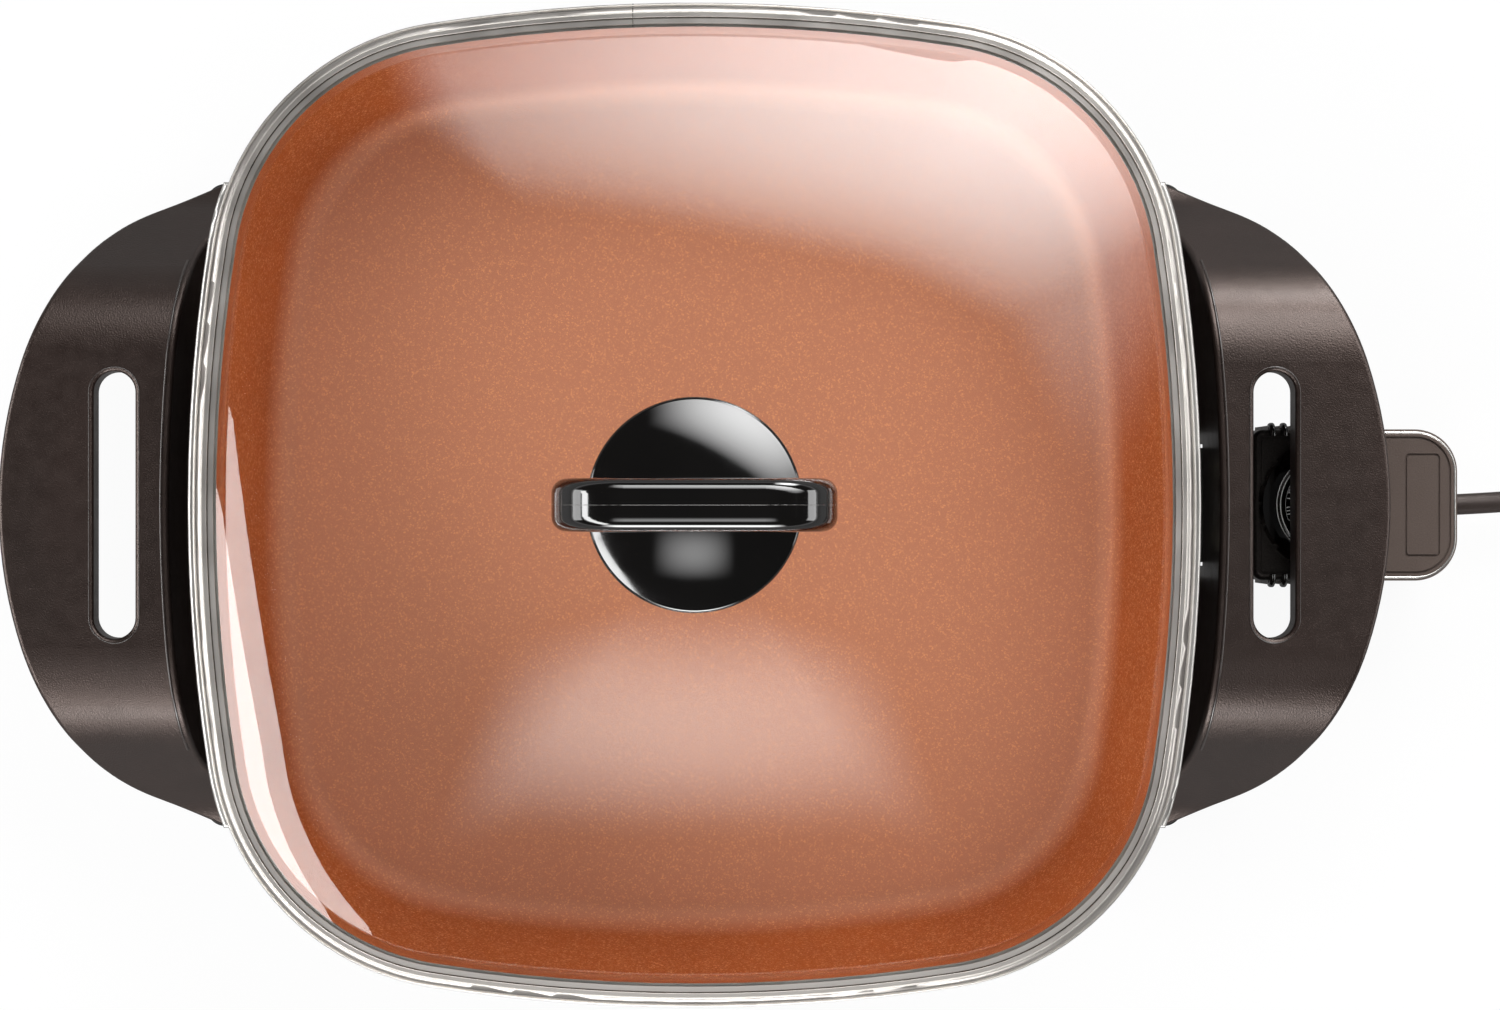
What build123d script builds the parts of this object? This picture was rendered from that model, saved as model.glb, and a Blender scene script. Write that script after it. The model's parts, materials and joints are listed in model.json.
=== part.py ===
from build123d import *

import math
import os

# Electric skillet: a square pan with bowed sides on two arched handles that carry the feet, a lift-off domed
# glass lid, and a plug-in temperature control with a dial, a probe rod and a mains cord.
# Everything is drawn about the pan's axis, with the table at zero height, in millimetres and degrees.
# The written pieces are moved along X, so that the origin lies under the middle of skillet and control.

# Shared values
RIGHT_ANGLE = 90.0
FULL_TURN = 360.0
OVERRUN = 5.0
SEAT_GAP = 0.3
SMALL_SHARE = 0.01

# Pan
PAN_MOUTH = 305.0
SIDE_BOW_RADIUS = 537.0
CORNER_RADIUS = 76.0
PAN_LIFT = 26.0
PAN_FLOOR = 4.0
PAN_DEPTH = 62.0
PAN_WALL = 3.2
WALL_INSET = 12.5
FLOOR_FILLET = 9.0
BASE_FILLET = 12.0
FLANGE_WIDTH = 5.3
FLANGE_THICKNESS = 3.4
FLANGE_ROUND = 1.2
SIDE_LIP = 2.4
SIDE_LIP_HALF = 102.0
FLOOR_Z = PAN_LIFT + PAN_FLOOR
RIM_Z = FLOOR_Z + PAN_DEPTH

# Handle fixings under the pan
BOSS_INSET = 35.5
BOSS_Y = 62.0
BOSS_RADIUS = 8.0
BOSS_DROP = 7.0
BOSS_HOLE_DEPTH = 9.0
SCREW_RADIUS = 2.5
SCREW_HOLE_GAP = 0.1
SCREW_REACH = 12.5
SCREW_HEAD_RADIUS = 4.75
SCREW_HEAD_HEIGHT = 3.2
SCREW_CROSS_WIDTH = 1.2
SCREW_CROSS_DEPTH = 1.8
SCREW_ROUND = 0.8
WASHER_RADIUS = 6.5
WASHER_THICKNESS = 1.0
TAB_THICKNESS = 4.0
TAB_WIDTH = 22.0
TAB_HOLE_GAP = 0.4
TAB_TOP_Z = PAN_LIFT - BOSS_DROP
TAB_BASE_Z = TAB_TOP_Z - TAB_THICKNESS

# Heater under the floor
HEATER_INSET = 52.5
HEATER_CORNER = 45.0
HEATER_THICKNESS = 5.0
HEATER_ROUND = 1.0
ELEMENT_RADIUS = 4.0
ELEMENT_FIT_GAP = 0.12
ELEMENT_LOOP_INSET = 22.0
ELEMENT_LOOP_CORNER = 34.0
ELEMENT_LEG_BEND = 14.0
ELEMENT_SETBACK = 29.0
TERMINAL_Y = 11.0
TERMINAL_Z = PAN_LIFT - HEATER_THICKNESS
PIN_RADIUS = 2.38
PIN_GRIP = 12.0
PIN_TIP_CHAMFER = 0.9
BEAD_RADIUS = 3.9
BEAD_LENGTH = 4.0
BEAD_FIT_GAP = 0.05
WELL_BLOCK_HALF = 6.2
WELL_BLOCK_OVERLAP = 16.0
WELL_BLOCK_DROP = 10.5
WELL_END_STEP = 4.0

# Stamped guard round the terminals
GUARD_HALF = 22.5
GUARD_SHEET = 1.2
GUARD_DROP = 16.0
GUARD_LENGTH = 50.0
GUARD_SETBACK = 11.0
GUARD_FLANGE = 10.5
GUARD_FLANGE_LENGTH = 20.0
RIVET_RADIUS = 2.0
RIVET_HEAD_RADIUS = 3.8
RIVET_HEAD_HEIGHT = 1.5
RIVET_REACH = 2.4
RIVET_EDGE = 5.0

# Handles
HANDLE_DEPTH = 55.0
HANDLE_DROP = 20.0
HANDLE_GAP = 16.5
HANDLE_WALL = 4.0
HANDLE_EDGE_ROUND = 1.6
HANDLE_TURN_RADIUS = 45.0
HANDLE_TURN_INSET = 6.94
HANDLE_TURN_SETBACK = 55.81
HANDLE_END_ANGLE = 64.0
ARCH_RAMP = 67.0
ARCH_SHOULDER_RADIUS = 38.0
ARCH_FLARE_RADIUS = 24.0
ARCH_GENTLE = 18.0
ARCH_HALF = 113.0
ARCH_END_Z = 10.0
SKIRT_DEPTH = 12.0
FOOT_LENGTH = 19.0
FOOT_TOE = 31.0
FOOT_SPAN = 17.0
HEEL_RADIUS = 20.0
SLOT_LENGTH = 86.0
SLOT_WIDTH = 13.4
SLOT_SETBACK = 17.6
SLOT_ROUND = 1.5
SLOT_COLLAR_WALL = 2.6
SLOT_COLLAR_DEPTH = 11.0
WINDOW_GAP = 1.5

# Foot pads
PAD_RADIUS = 6.5
PAD_THICKNESS = 3.0
PAD_PROUD = 1.0
PAD_ROUND = 0.5
PAD_SETBACK = 9.0
PAD_EDGE = 10.0
PAD_FIT_GAP = 0.1

# Lid
LID_OVERHANG = 5.9
LID_SHEET = 0.8
LID_BEAD_WIDTH = 1.2
LID_BEAD_HEIGHT = 1.7
LID_BEAD_ROUND = 0.5
LID_CHANNEL_STEP = 1.7
LID_CHANNEL_HEIGHT = 6.2
LID_CHANNEL_ROUND = 2.0
LID_RIDGE_WIDTH = 3.4
LID_RIDGE_ROUND = 0.3
LID_LIP_DROP = 0.5
LID_LIP_REACH = 1.2
LID_TONGUE_GAP = 1.7
LID_TONGUE_DROP = 5.0
GLASS_THICKNESS = 4.0
GLASS_EDGE_GAP = 0.2
GLASS_BORDER = 4.8
GLASS_SEAT = 3.4
DOME_RISE = 30.0
DOME_POWER = 2.2
DOME_SECTION_SHARES = (1.0, 0.93, 0.82, 0.66, 0.44, 0.17)
LID_TOP_Z = RIM_Z + LID_SHEET + GLASS_THICKNESS

# Lid handle
KNOB_RADIUS = 33.0
KNOB_EDGE = 3.5
KNOB_CROWN = 8.4
KNOB_ROUND = 1.6
BAR_LENGTH = 86.0
BAR_WIDTH = 16.0
BAR_TOP = 40.0
BAR_THICKNESS = 9.0
BAR_FOOT_HALF = 31.0
BAR_LEG = 9.0
BAR_SINK = 3.0
BAR_ELBOW = 13.5
BAR_SHOULDER_RADIUS = 22.0
BAR_ELBOW_RADIUS = 8.0
BAR_INNER_RADIUS = 12.0
BAR_EDGE_ROUND = 4.5
GASKET_RADIUS = 22.0
GASKET_THICKNESS = 1.6
INNER_GASKET_RADIUS = 12.0
LID_WASHER_RADIUS = 11.0
LID_WASHER_THICKNESS = 1.2
LID_SCREW_GRIP = 6.0
LID_SCREW_END_GAP = 0.6
GLASS_HOLE_GAP = 1.5

# Plug-in control
PROBE_SETBACK = 15.0
PROBE_LENGTH = 68.0
PROBE_WIDTH = 50.0
PROBE_BASE_Z = 6.0
PROBE_SPLIT_Z = 24.0
PROBE_TOP_Z = 42.0
PROBE_WALL = 2.2
PROBE_BACK_CORNER = 14.0
PROBE_FRONT_CORNER = 4.0
PROBE_EDGE_ROUND = 2.0
PROBE_SEAM = 0.4
PROBE_LINE_INSET = 2.4
PROBE_LINE = 0.7
PROBE_LINE_DEPTH = 0.6
LABEL_LENGTH = 34.0
LABEL_WIDTH = 11.6
LABEL_INSET = 11.8
LABEL_CORNER = 1.5
GRIP_COUNT = 9
GRIP_PITCH = 4.0
GRIP_INSET = 6.0
GRIP_WIDTH = 1.6
GRIP_PROUD = 1.3
GRIP_EDGE = 4.0
NOSE_LENGTH = 22.0
NOSE_HALF = 19.0
NOSE_BASE_Z = 11.0
NOSE_TOP_Z = 33.0
NOSE_FLANGE = 1.8
NOSE_FLANGE_THICKNESS = 2.0
NOSE_FIT_GAP = 0.2
NOSE_ROUND = 2.0
CONTACT_RADIUS = 4.3
CONTACT_BORE_GAP = 0.12
CONTACT_FIT_GAP = 0.15
CONTACT_SINK = 2.0
CONTACT_LENGTH = 30.0
ROD_RADIUS = 3.0
ROD_WELL_GAP = 0.3
ROD_FIT_GAP = 0.1
ROD_TIP_GAP = 2.0
FRAME_SHEET = 1.5
FRAME_HALF = 6.0
FRAME_TOP_HALF = 10.0
FRAME_BASE_Z = 12.0
FRAME_TOP_Z = 36.0
FRAME_INSET = 22.0
BLOCK_LENGTH = 8.0
BLOCK_HALF = 8.0
BLOCK_BASE_Z = 14.0
BLADE_THICKNESS = 0.6
BLADE_HALF = 4.0
BLADE_INSET = 17.0
BLADE_TAIL = 3.5
FIXED_BLADE_Z = 19.0
MOVING_BLADE_Z = 25.4
BUTTON_RADIUS = 2.0
BUTTON_HEIGHT = 2.6
BUTTON_INSET = 4.0
BUSH_RADIUS = 5.0
BUSH_FIT_GAP = 0.06
SPINDLE_RADIUS = 3.0
SPINDLE_FIT_GAP = 0.05
WIRE_RADIUS = 1.1
WIRE_BEND = 3.0
WIRE_SPLIT = 1.9
WIRE_AISLE_Y = 15.0
POST_RADIUS = 3.0
POST_FRONT_INSET = 11.0
POST_FRONT_EDGE = 5.6
POST_BACK_INSET = 16.0
POST_BACK_EDGE = 7.0
COVER_SCREW_RADIUS = 1.25
COVER_SCREW_GAP = 0.15
COVER_SCREW_HEAD_RADIUS = 2.4
COVER_SCREW_HEAD = 1.8
COVER_SCREW_SINK = 2.4
COVER_SCREW_GRIP = 9.0

# Dial
DIAL_INSET = 23.6
DIAL_LIFT = 0.4
DIAL_SKIRT_RADIUS = 21.6
DIAL_SKIRT = 3.0
DIAL_RADIUS = 17.5
DIAL_HEIGHT = 10.6
DIAL_ROUND = 1.4
DIAL_DISH = 0.8
DIAL_DISH_RADIUS = 14.5
DIAL_NOTCH_COUNT = 18
DIAL_NOTCH_RADIUS = 1.1
DIAL_BORE_DEPTH = 6.0

# Cord
CORD_DIAMETER = 7.0
CORD_RADIUS = CORD_DIAMETER / 2
CORD_EXIT_Z = TERMINAL_Z
CORD_INNER_LENGTH = 16.0
BUSHING_RADIUS = 5.6
BUSHING_FLANGE = 1.5
BUSHING_FLANGE_THICKNESS = 1.4
BUSHING_FIT_GAP = 0.1
CLAMP_LENGTH = 6.0
CLAMP_HALF = 8.0
CLAMP_TOP = 6.0
CLAMP_INSET = 13.0
CORD_FIT_GAP = 0.05

# Route of the cord from the control to the coil, as steps from the exit, with the floor under it
COIL_BASE_Z = 5.0
CORD_ROUTE = (
    (0.0, 0.0, CORD_EXIT_Z),
    (23.0, 0.0, CORD_EXIT_Z),
    (65.0, 5.0, COIL_BASE_Z),
    (95.0, 5.0, COIL_BASE_Z),
)

# Coil of the length that is put away
COIL_MIN_RADIUS = 30.0
COIL_PITCH = 9.0
COIL_LAYER_STEP = 7.6
COIL_LAYER_TURNS = 1.375
COIL_CLIMB_TURNS = 0.5
COIL_STEPS_PER_TURN = 8
COIL_TURNS = 2 * COIL_LAYER_TURNS + COIL_CLIMB_TURNS
COIL_MAX_RADIUS = COIL_MIN_RADIUS + COIL_PITCH * COIL_LAYER_TURNS
TIE_GAP = 0.9
TIE_THICKNESS = 0.6
TIE_WIDTH = 8.0
TIE_CORNER = 5.0

# Tail and plug
TAIL_STEPS = ((0.0, -17.0, 0.0), (0.5, -35.0, -2.6), (0.5, -51.0, -2.6))
PLUG_WIDTH = 25.0
PLUG_LENGTH = 30.0
PLUG_ROUND = 3.0
PLUG_NECK_LENGTH = 24.0
PLUG_NECK_RADIUS = 6.4
PLUG_NECK_END_RADIUS = 4.4
BLADE_PITCH = 12.7
PRONG_THICKNESS = 1.5
PRONG_WIDTH = 6.35
PRONG_LENGTH = 17.5
PRONG_ROUND = 1.2

ROUTE_BEND_SHARE = 0.45
COIL_PROBE_SHARE = 0.002
COIL_GAP_SAMPLES = 120

# Places on the right side, from the pan's mouth outwards
PAN_HALF = PAN_MOUTH / 2
SIDE_X = PAN_HALF + HANDLE_GAP
BOSS_X = PAN_HALF - BOSS_INSET
HEATER_HALF = PAN_HALF - HEATER_INSET
ELEMENT_LOOP_HALF = HEATER_HALF - ELEMENT_LOOP_INSET
WELL_BLOCK_START_X = HEATER_HALF - WELL_BLOCK_OVERLAP
WELL_END_X = HEATER_HALF + WELL_END_STEP
ELEMENT_END_X = SIDE_X - ELEMENT_SETBACK
GUARD_FRONT_X = SIDE_X - GUARD_SETBACK
GUARD_BACK_X = GUARD_FRONT_X - GUARD_LENGTH
HANDLE_REACH = SIDE_X + HANDLE_DEPTH
HANDLE_TOP = RIM_Z - HANDLE_DROP
FOOT_INNER_X = SIDE_X - FOOT_TOE
FOOT_START_Y = ARCH_HALF - FOOT_SPAN
SLOT_X = SIDE_X + SLOT_SETBACK
PAD_X = SIDE_X - PAD_SETBACK
PAD_Y = ARCH_HALF - PAD_EDGE

# Places in the control, from its front and back
PROBE_FRONT = SIDE_X + PROBE_SETBACK
PROBE_BACK = PROBE_FRONT + PROBE_LENGTH
LABEL_X = PROBE_BACK - LABEL_INSET
GRIP_START_X = PROBE_FRONT + GRIP_INSET
NOSE_FRONT = PROBE_FRONT - NOSE_LENGTH
CONTACT_FRONT = NOSE_FRONT + CONTACT_SINK
CONTACT_BACK = CONTACT_FRONT + CONTACT_LENGTH
PIN_END_X = CONTACT_FRONT + PIN_GRIP
FRAME_BACK_X = PROBE_BACK - FRAME_INSET
BLADE_FRONT_X = PROBE_FRONT + BLADE_INSET
POST_FRONT_X = PROBE_FRONT + POST_FRONT_INSET
POST_FRONT_Y = PROBE_WIDTH / 2 - POST_FRONT_EDGE
POST_BACK_X = PROBE_BACK - POST_BACK_INSET
POST_BACK_Y = PROBE_WIDTH / 2 - POST_BACK_EDGE
DIAL_X = PROBE_FRONT + DIAL_INSET
CLAMP_X = PROBE_BACK - CLAMP_INSET

FRAME_SHIFT = (HANDLE_REACH - PROBE_BACK) / 2


# Helpers


def bowed_square(inset):
    """Face of the pan's outline, drawn inset from its mouth line, or outside it where inset is negative."""
    half = PAN_HALF - inset
    side = SIDE_BOW_RADIUS - inset
    corner = CORNER_RADIUS - inset
    lift = side - half
    centre = (math.sqrt(2 * (side - corner) ** 2 - lift**2) - lift) / 2
    stretch = side / (side - corner)
    along = centre * stretch
    across = (centre + lift) * stretch - lift
    tip = centre + corner / math.sqrt(2)
    side_arc = ThreePointArc((-along, across), (0, half), (along, across))
    corner_arc = ThreePointArc((along, across), (tip, tip), (across, along))
    edges = []
    for quarter in range(4):
        turn = Rot(0, 0, -RIGHT_ANGLE * quarter)
        edges += [turn * side_arc, turn * corner_arc]
    return make_face(edges)


def slab(face, base_z, top_z):
    """Solid over a flat face between two heights."""
    return extrude(Pos(0, 0, base_z) * face, top_z - base_z)


def cylinder_x(radius, start_x, end_x, y, z):
    """Round bar along X."""
    return extrude(Plane((start_x, y, z), z_dir=(1, 0, 0)) * Circle(radius), end_x - start_x)


def cylinder_z(radius, x, y, base_z, top_z):
    """Round bar along Z."""
    return extrude(Pos(x, y, base_z) * Circle(radius), top_z - base_z)


def block(x_range, y_range, z_range):
    """Box between two corners."""
    middle = [(low + high) / 2 for low, high in (x_range, y_range, z_range)]
    size = [high - low for low, high in (x_range, y_range, z_range)]
    return Pos(*middle) * Box(*size)


def tube(path, radius):
    """Round tube along a path."""
    return sweep(Plane(origin=path @ 0, z_dir=path % 0) * Circle(radius), path=path)


def mirrored_y(shape):
    """The shape with its mirror image on the other side of the XZ plane."""
    return [shape, mirror(shape, Plane.XZ)]


def pan_head_screw(head_base_z, shank_top_z):
    """Screw pointing up, its head's underside at the bottom, with a cross recess."""
    head_top_z = head_base_z + SCREW_HEAD_HEIGHT
    head = cylinder_z(SCREW_HEAD_RADIUS, 0, 0, head_base_z, head_top_z)
    head = fillet(head.edges().group_by(Axis.Z)[0], SCREW_ROUND)
    shank = cylinder_z(SCREW_RADIUS, 0, 0, head_top_z, shank_top_z)
    long_half = SCREW_HEAD_RADIUS / 2
    short_half = SCREW_CROSS_WIDTH / 2
    recess = (head_base_z - OVERRUN, head_base_z + SCREW_CROSS_DEPTH)
    cross = block((-long_half, long_half), (-short_half, short_half), recess)
    cross += block((-short_half, short_half), (-long_half, long_half), recess)
    return head + shank - cross


def four_corners(shape, x, y):
    """Copies at the four corners of a rectangle about the pan's axis."""
    return [Pos(sx * x, sy * y) * shape for sx in (-1, 1) for sy in (-1, 1)]


# Pan


def rounded_rim(plate):
    """Flat plate with its upper and lower edges rounded."""
    levels = plate.edges().group_by(Axis.Z)
    return fillet(levels[0] + levels[-1], FLANGE_ROUND)


def make_pan():
    outer = loft(
        [
            Pos(0, 0, PAN_LIFT) * bowed_square(WALL_INSET - PAN_WALL),
            Pos(0, 0, RIM_Z) * bowed_square(-PAN_WALL),
        ],
        ruled=True,
    )
    outer = fillet(outer.edges().group_by(Axis.Z)[0], BASE_FILLET)
    inner = loft(
        [Pos(0, 0, FLOOR_Z) * bowed_square(WALL_INSET), Pos(0, 0, RIM_Z) * bowed_square(0)],
        ruled=True,
    )
    inner = fillet(inner.edges().group_by(Axis.Z)[0], FLOOR_FILLET)
    flange = slab(bowed_square(-FLANGE_WIDTH), RIM_Z - FLANGE_THICKNESS, RIM_Z)
    lip_face = bowed_square(-FLANGE_WIDTH - SIDE_LIP) & Rectangle(2 * HANDLE_REACH, 2 * SIDE_LIP_HALF)
    lip = slab(lip_face, RIM_Z - FLANGE_THICKNESS, RIM_Z)
    pan = outer + rounded_rim(flange) + rounded_rim(lip) - inner
    boss = cylinder_z(BOSS_RADIUS, 0, 0, TAB_TOP_Z, PAN_LIFT)
    hole_radius = SCREW_RADIUS + SCREW_HOLE_GAP
    hole = cylinder_z(hole_radius, 0, 0, TAB_TOP_Z, TAB_TOP_Z + BOSS_HOLE_DEPTH)
    for placed in four_corners(boss, BOSS_X, BOSS_Y):
        pan += placed
    for placed in four_corners(hole, BOSS_X, BOSS_Y):
        pan -= placed
    for x, y in rivet_places():
        pan -= cylinder_z(RIVET_RADIUS, x, y, PAN_LIFT, PAN_LIFT + RIVET_REACH)
    return pan


def element_path():
    """Middle line of the tubular element, from one terminal round under the floor to the other."""
    loop = ELEMENT_LOOP_HALF
    end = ELEMENT_END_X
    points = (
        (end, TERMINAL_Y),
        (loop, TERMINAL_Y),
        (loop, loop),
        (-loop, loop),
        (-loop, -loop),
        (loop, -loop),
        (loop, -TERMINAL_Y),
        (end, -TERMINAL_Y),
    )
    corners = [ELEMENT_LEG_BEND] + [ELEMENT_LOOP_CORNER] * 4 + [ELEMENT_LEG_BEND]
    return Pos(0, 0, TERMINAL_Z) * FilletPolyline(*points, radius=corners)


def make_heater_plate():
    size = 2 * HEATER_HALF
    plate = slab(RectangleRounded(size, size, HEATER_CORNER), TERMINAL_Z, PAN_LIFT)
    plate = fillet(plate.edges().group_by(Axis.Z)[0], HEATER_ROUND)
    well = block(
        (WELL_BLOCK_START_X, ELEMENT_END_X),
        (-WELL_BLOCK_HALF, WELL_BLOCK_HALF),
        (PAN_LIFT - WELL_BLOCK_DROP, PAN_LIFT),
    )
    well -= cylinder_x(ROD_RADIUS + ROD_WELL_GAP, WELL_END_X, ELEMENT_END_X, 0, TERMINAL_Z)
    return plate + well - tube(element_path(), ELEMENT_RADIUS + ELEMENT_FIT_GAP)


def make_terminal_pins():
    pin = cylinder_x(PIN_RADIUS, ELEMENT_END_X, PIN_END_X, TERMINAL_Y, TERMINAL_Z)
    pin = chamfer(pin.edges().group_by(Axis.X)[-1], PIN_TIP_CHAMFER)
    return mirrored_y(pin)


def make_terminal_insulators():
    end = ELEMENT_END_X + BEAD_LENGTH
    bead = cylinder_x(BEAD_RADIUS, ELEMENT_END_X, end, TERMINAL_Y, TERMINAL_Z)
    bead -= cylinder_x(PIN_RADIUS + BEAD_FIT_GAP, ELEMENT_END_X, end, TERMINAL_Y, TERMINAL_Z)
    return mirrored_y(bead)


def rivet_places():
    y = GUARD_HALF + GUARD_FLANGE / 2
    xs = (GUARD_BACK_X + RIVET_EDGE, GUARD_BACK_X + GUARD_FLANGE_LENGTH - RIVET_EDGE)
    return [(x, side * y) for x in xs for side in (-1, 1)]


def make_terminal_guard():
    base = PAN_LIFT - GUARD_DROP
    inside = GUARD_HALF - GUARD_SHEET
    guard = block((GUARD_BACK_X, GUARD_FRONT_X), (-GUARD_HALF, GUARD_HALF), (base, PAN_LIFT - SEAT_GAP))
    guard -= block(
        (GUARD_BACK_X, GUARD_FRONT_X), (-inside, inside), (base + GUARD_SHEET, PAN_LIFT + OVERRUN)
    )
    reach = GUARD_HALF + GUARD_FLANGE
    flange_x = (GUARD_BACK_X, GUARD_BACK_X + GUARD_FLANGE_LENGTH)
    flange = block(flange_x, (inside, reach), (PAN_LIFT - GUARD_SHEET, PAN_LIFT))
    for placed in mirrored_y(flange):
        guard += placed
    for x, y in rivet_places():
        guard -= cylinder_z(RIVET_RADIUS, x, y, base, PAN_LIFT)
    return guard


def make_guard_rivets():
    head_top = PAN_LIFT - GUARD_SHEET
    rivets = []
    for x, y in rivet_places():
        head = cylinder_z(RIVET_HEAD_RADIUS, x, y, head_top - RIVET_HEAD_HEIGHT, head_top)
        head = fillet(head.edges().group_by(Axis.Z)[0], RIVET_HEAD_HEIGHT / 2)
        rivets.append(head + cylinder_z(RIVET_RADIUS, x, y, head_top, PAN_LIFT + RIVET_REACH))
    return rivets


# Handles


def handle_outline(inset):
    """Plan of the right handle, drawn inset from its edges, with a toe at each foot under the pan."""
    turn = HANDLE_TURN_RADIUS - inset
    turn_x = SIDE_X - HANDLE_TURN_INSET
    turn_y = ARCH_HALF - HANDLE_TURN_SETBACK
    rise = HANDLE_REACH - turn_x
    bow_radius = (rise**2 + turn_y**2 - HANDLE_TURN_RADIUS**2) / (2 * (rise - HANDLE_TURN_RADIUS))
    bow = bow_radius - inset
    bow_x = HANDLE_REACH - bow_radius
    first = math.atan2(turn_y, turn_x - bow_x)
    last = math.radians(HANDLE_END_ANGLE)
    middle = (first + last) / 2
    tip = (bow_x + bow, 0)
    bow_end = (bow_x + bow * math.cos(first), bow * math.sin(first))
    turn_middle = (turn_x + turn * math.cos(middle), turn_y + turn * math.sin(middle))
    turn_end = (turn_x + turn * math.cos(last), turn_y + turn * math.sin(last))
    toe_x = FOOT_INNER_X + inset
    toe_end = (toe_x, turn_end[1] + (turn_end[0] - toe_x) / math.tan(last))
    inner_centre = PAN_HALF - SIDE_BOW_RADIUS
    inner_radius = SIDE_BOW_RADIUS + HANDLE_GAP + inset
    toe_y = FOOT_START_Y + inset
    heel_radius = HEEL_RADIUS + inset
    heel_y = toe_y - heel_radius
    heel_run = math.sqrt((inner_radius - heel_radius) ** 2 - heel_y**2)
    heel_angle = math.atan2(heel_y, heel_run)
    heel_x = inner_centre + heel_run
    heel_middle_angle = (heel_angle + math.radians(RIGHT_ANGLE)) / 2
    heel_middle = (
        heel_x + heel_radius * math.cos(heel_middle_angle),
        heel_y + heel_radius * math.sin(heel_middle_angle),
    )
    heel = (inner_centre + inner_radius * math.cos(heel_angle), inner_radius * math.sin(heel_angle))
    inner_middle = (inner_centre + inner_radius, 0)

    def below(point):
        return (point[0], -point[1])

    edges = [
        ThreePointArc(below(bow_end), tip, bow_end),
        ThreePointArc(heel, inner_middle, below(heel)),
    ]
    half = [
        ThreePointArc(bow_end, turn_middle, turn_end),
        Line(turn_end, toe_end),
        Line(toe_end, (toe_x, toe_y)),
        Line((toe_x, toe_y), (heel_x, toe_y)),
        ThreePointArc((heel_x, toe_y), heel_middle, heel),
    ]
    for edge in half:
        edges += [edge, mirror(edge, Plane.XZ)]
    return make_face(edges)


def arch_under(inset, half_width, base_z):
    """Solid under the handle's arch on the right side, sunk by inset below the arch's skin."""
    gentle = math.radians(ARCH_GENTLE)
    flat = ARCH_HALF - ARCH_RAMP
    top = HANDLE_TOP - inset
    shoulder_z = HANDLE_TOP - ARCH_SHOULDER_RADIUS
    flare_y = ARCH_HALF + ARCH_FLARE_RADIUS * math.sin(gentle)
    flare_z = ARCH_END_Z + ARCH_FLARE_RADIUS * math.cos(gentle)
    gap_y = flare_y - flat
    gap_z = flare_z - shoulder_z
    lean = math.atan2(gap_y, gap_z)
    steep = lean - math.acos((ARCH_SHOULDER_RADIUS + ARCH_FLARE_RADIUS) / math.hypot(gap_y, gap_z))

    def on_shoulder(angle):
        radius = ARCH_SHOULDER_RADIUS - inset
        return (flat + radius * math.sin(angle), shoulder_z + radius * math.cos(angle))

    def on_flare(angle):
        radius = ARCH_FLARE_RADIUS + inset
        return (flare_y - radius * math.sin(angle), flare_z - radius * math.cos(angle))

    end_y, end_z = on_flare(gentle)
    deep_z = end_z - HANDLE_TOP
    half = [
        Line((0, top), (flat, top)),
        ThreePointArc((flat, top), on_shoulder(steep / 2), on_shoulder(steep)),
        Line(on_shoulder(steep), on_flare(steep)),
        ThreePointArc(on_flare(steep), on_flare((steep + gentle) / 2), (end_y, end_z)),
        Line((end_y, end_z), (end_y, deep_z)),
        Line((end_y, deep_z), (0, deep_z)),
    ]
    edges = []
    for edge in half:
        edges += [edge, mirror(edge, Plane.YZ)]
    height = HANDLE_TOP - base_z
    limits = Pos(0, base_z + height / 2) * Rectangle(2 * half_width, height)
    return extrude(Plane.YZ * (make_face(edges) & limits), HANDLE_REACH + OVERRUN)


def handle_block():
    """Outside of a handle as one block, with its skin's edges rounded."""
    outside = slab(handle_outline(0), PAD_PROUD, HANDLE_TOP + OVERRUN)
    solid = outside & arch_under(0, ARCH_HALF, PAD_PROUD)
    rims = []
    for edge in solid.edges():
        direction = edge.tangent_at(0)
        straight = edge.geom_type == GeomType.LINE
        on_skin = edge.center().Z > ARCH_END_Z
        along_axis = straight and (abs(direction.X) > 1 - SMALL_SHARE or abs(direction.Z) > 1 - SMALL_SHARE)
        if on_skin and not along_axis:
            rims.append(edge)
    return fillet(rims, HANDLE_EDGE_ROUND)


def slot_face(grow):
    slot = SlotOverall(SLOT_LENGTH + 2 * grow, SLOT_WIDTH + 2 * grow)
    return Pos(SLOT_X, 0) * Rot(0, 0, RIGHT_ANGLE) * slot


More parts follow.
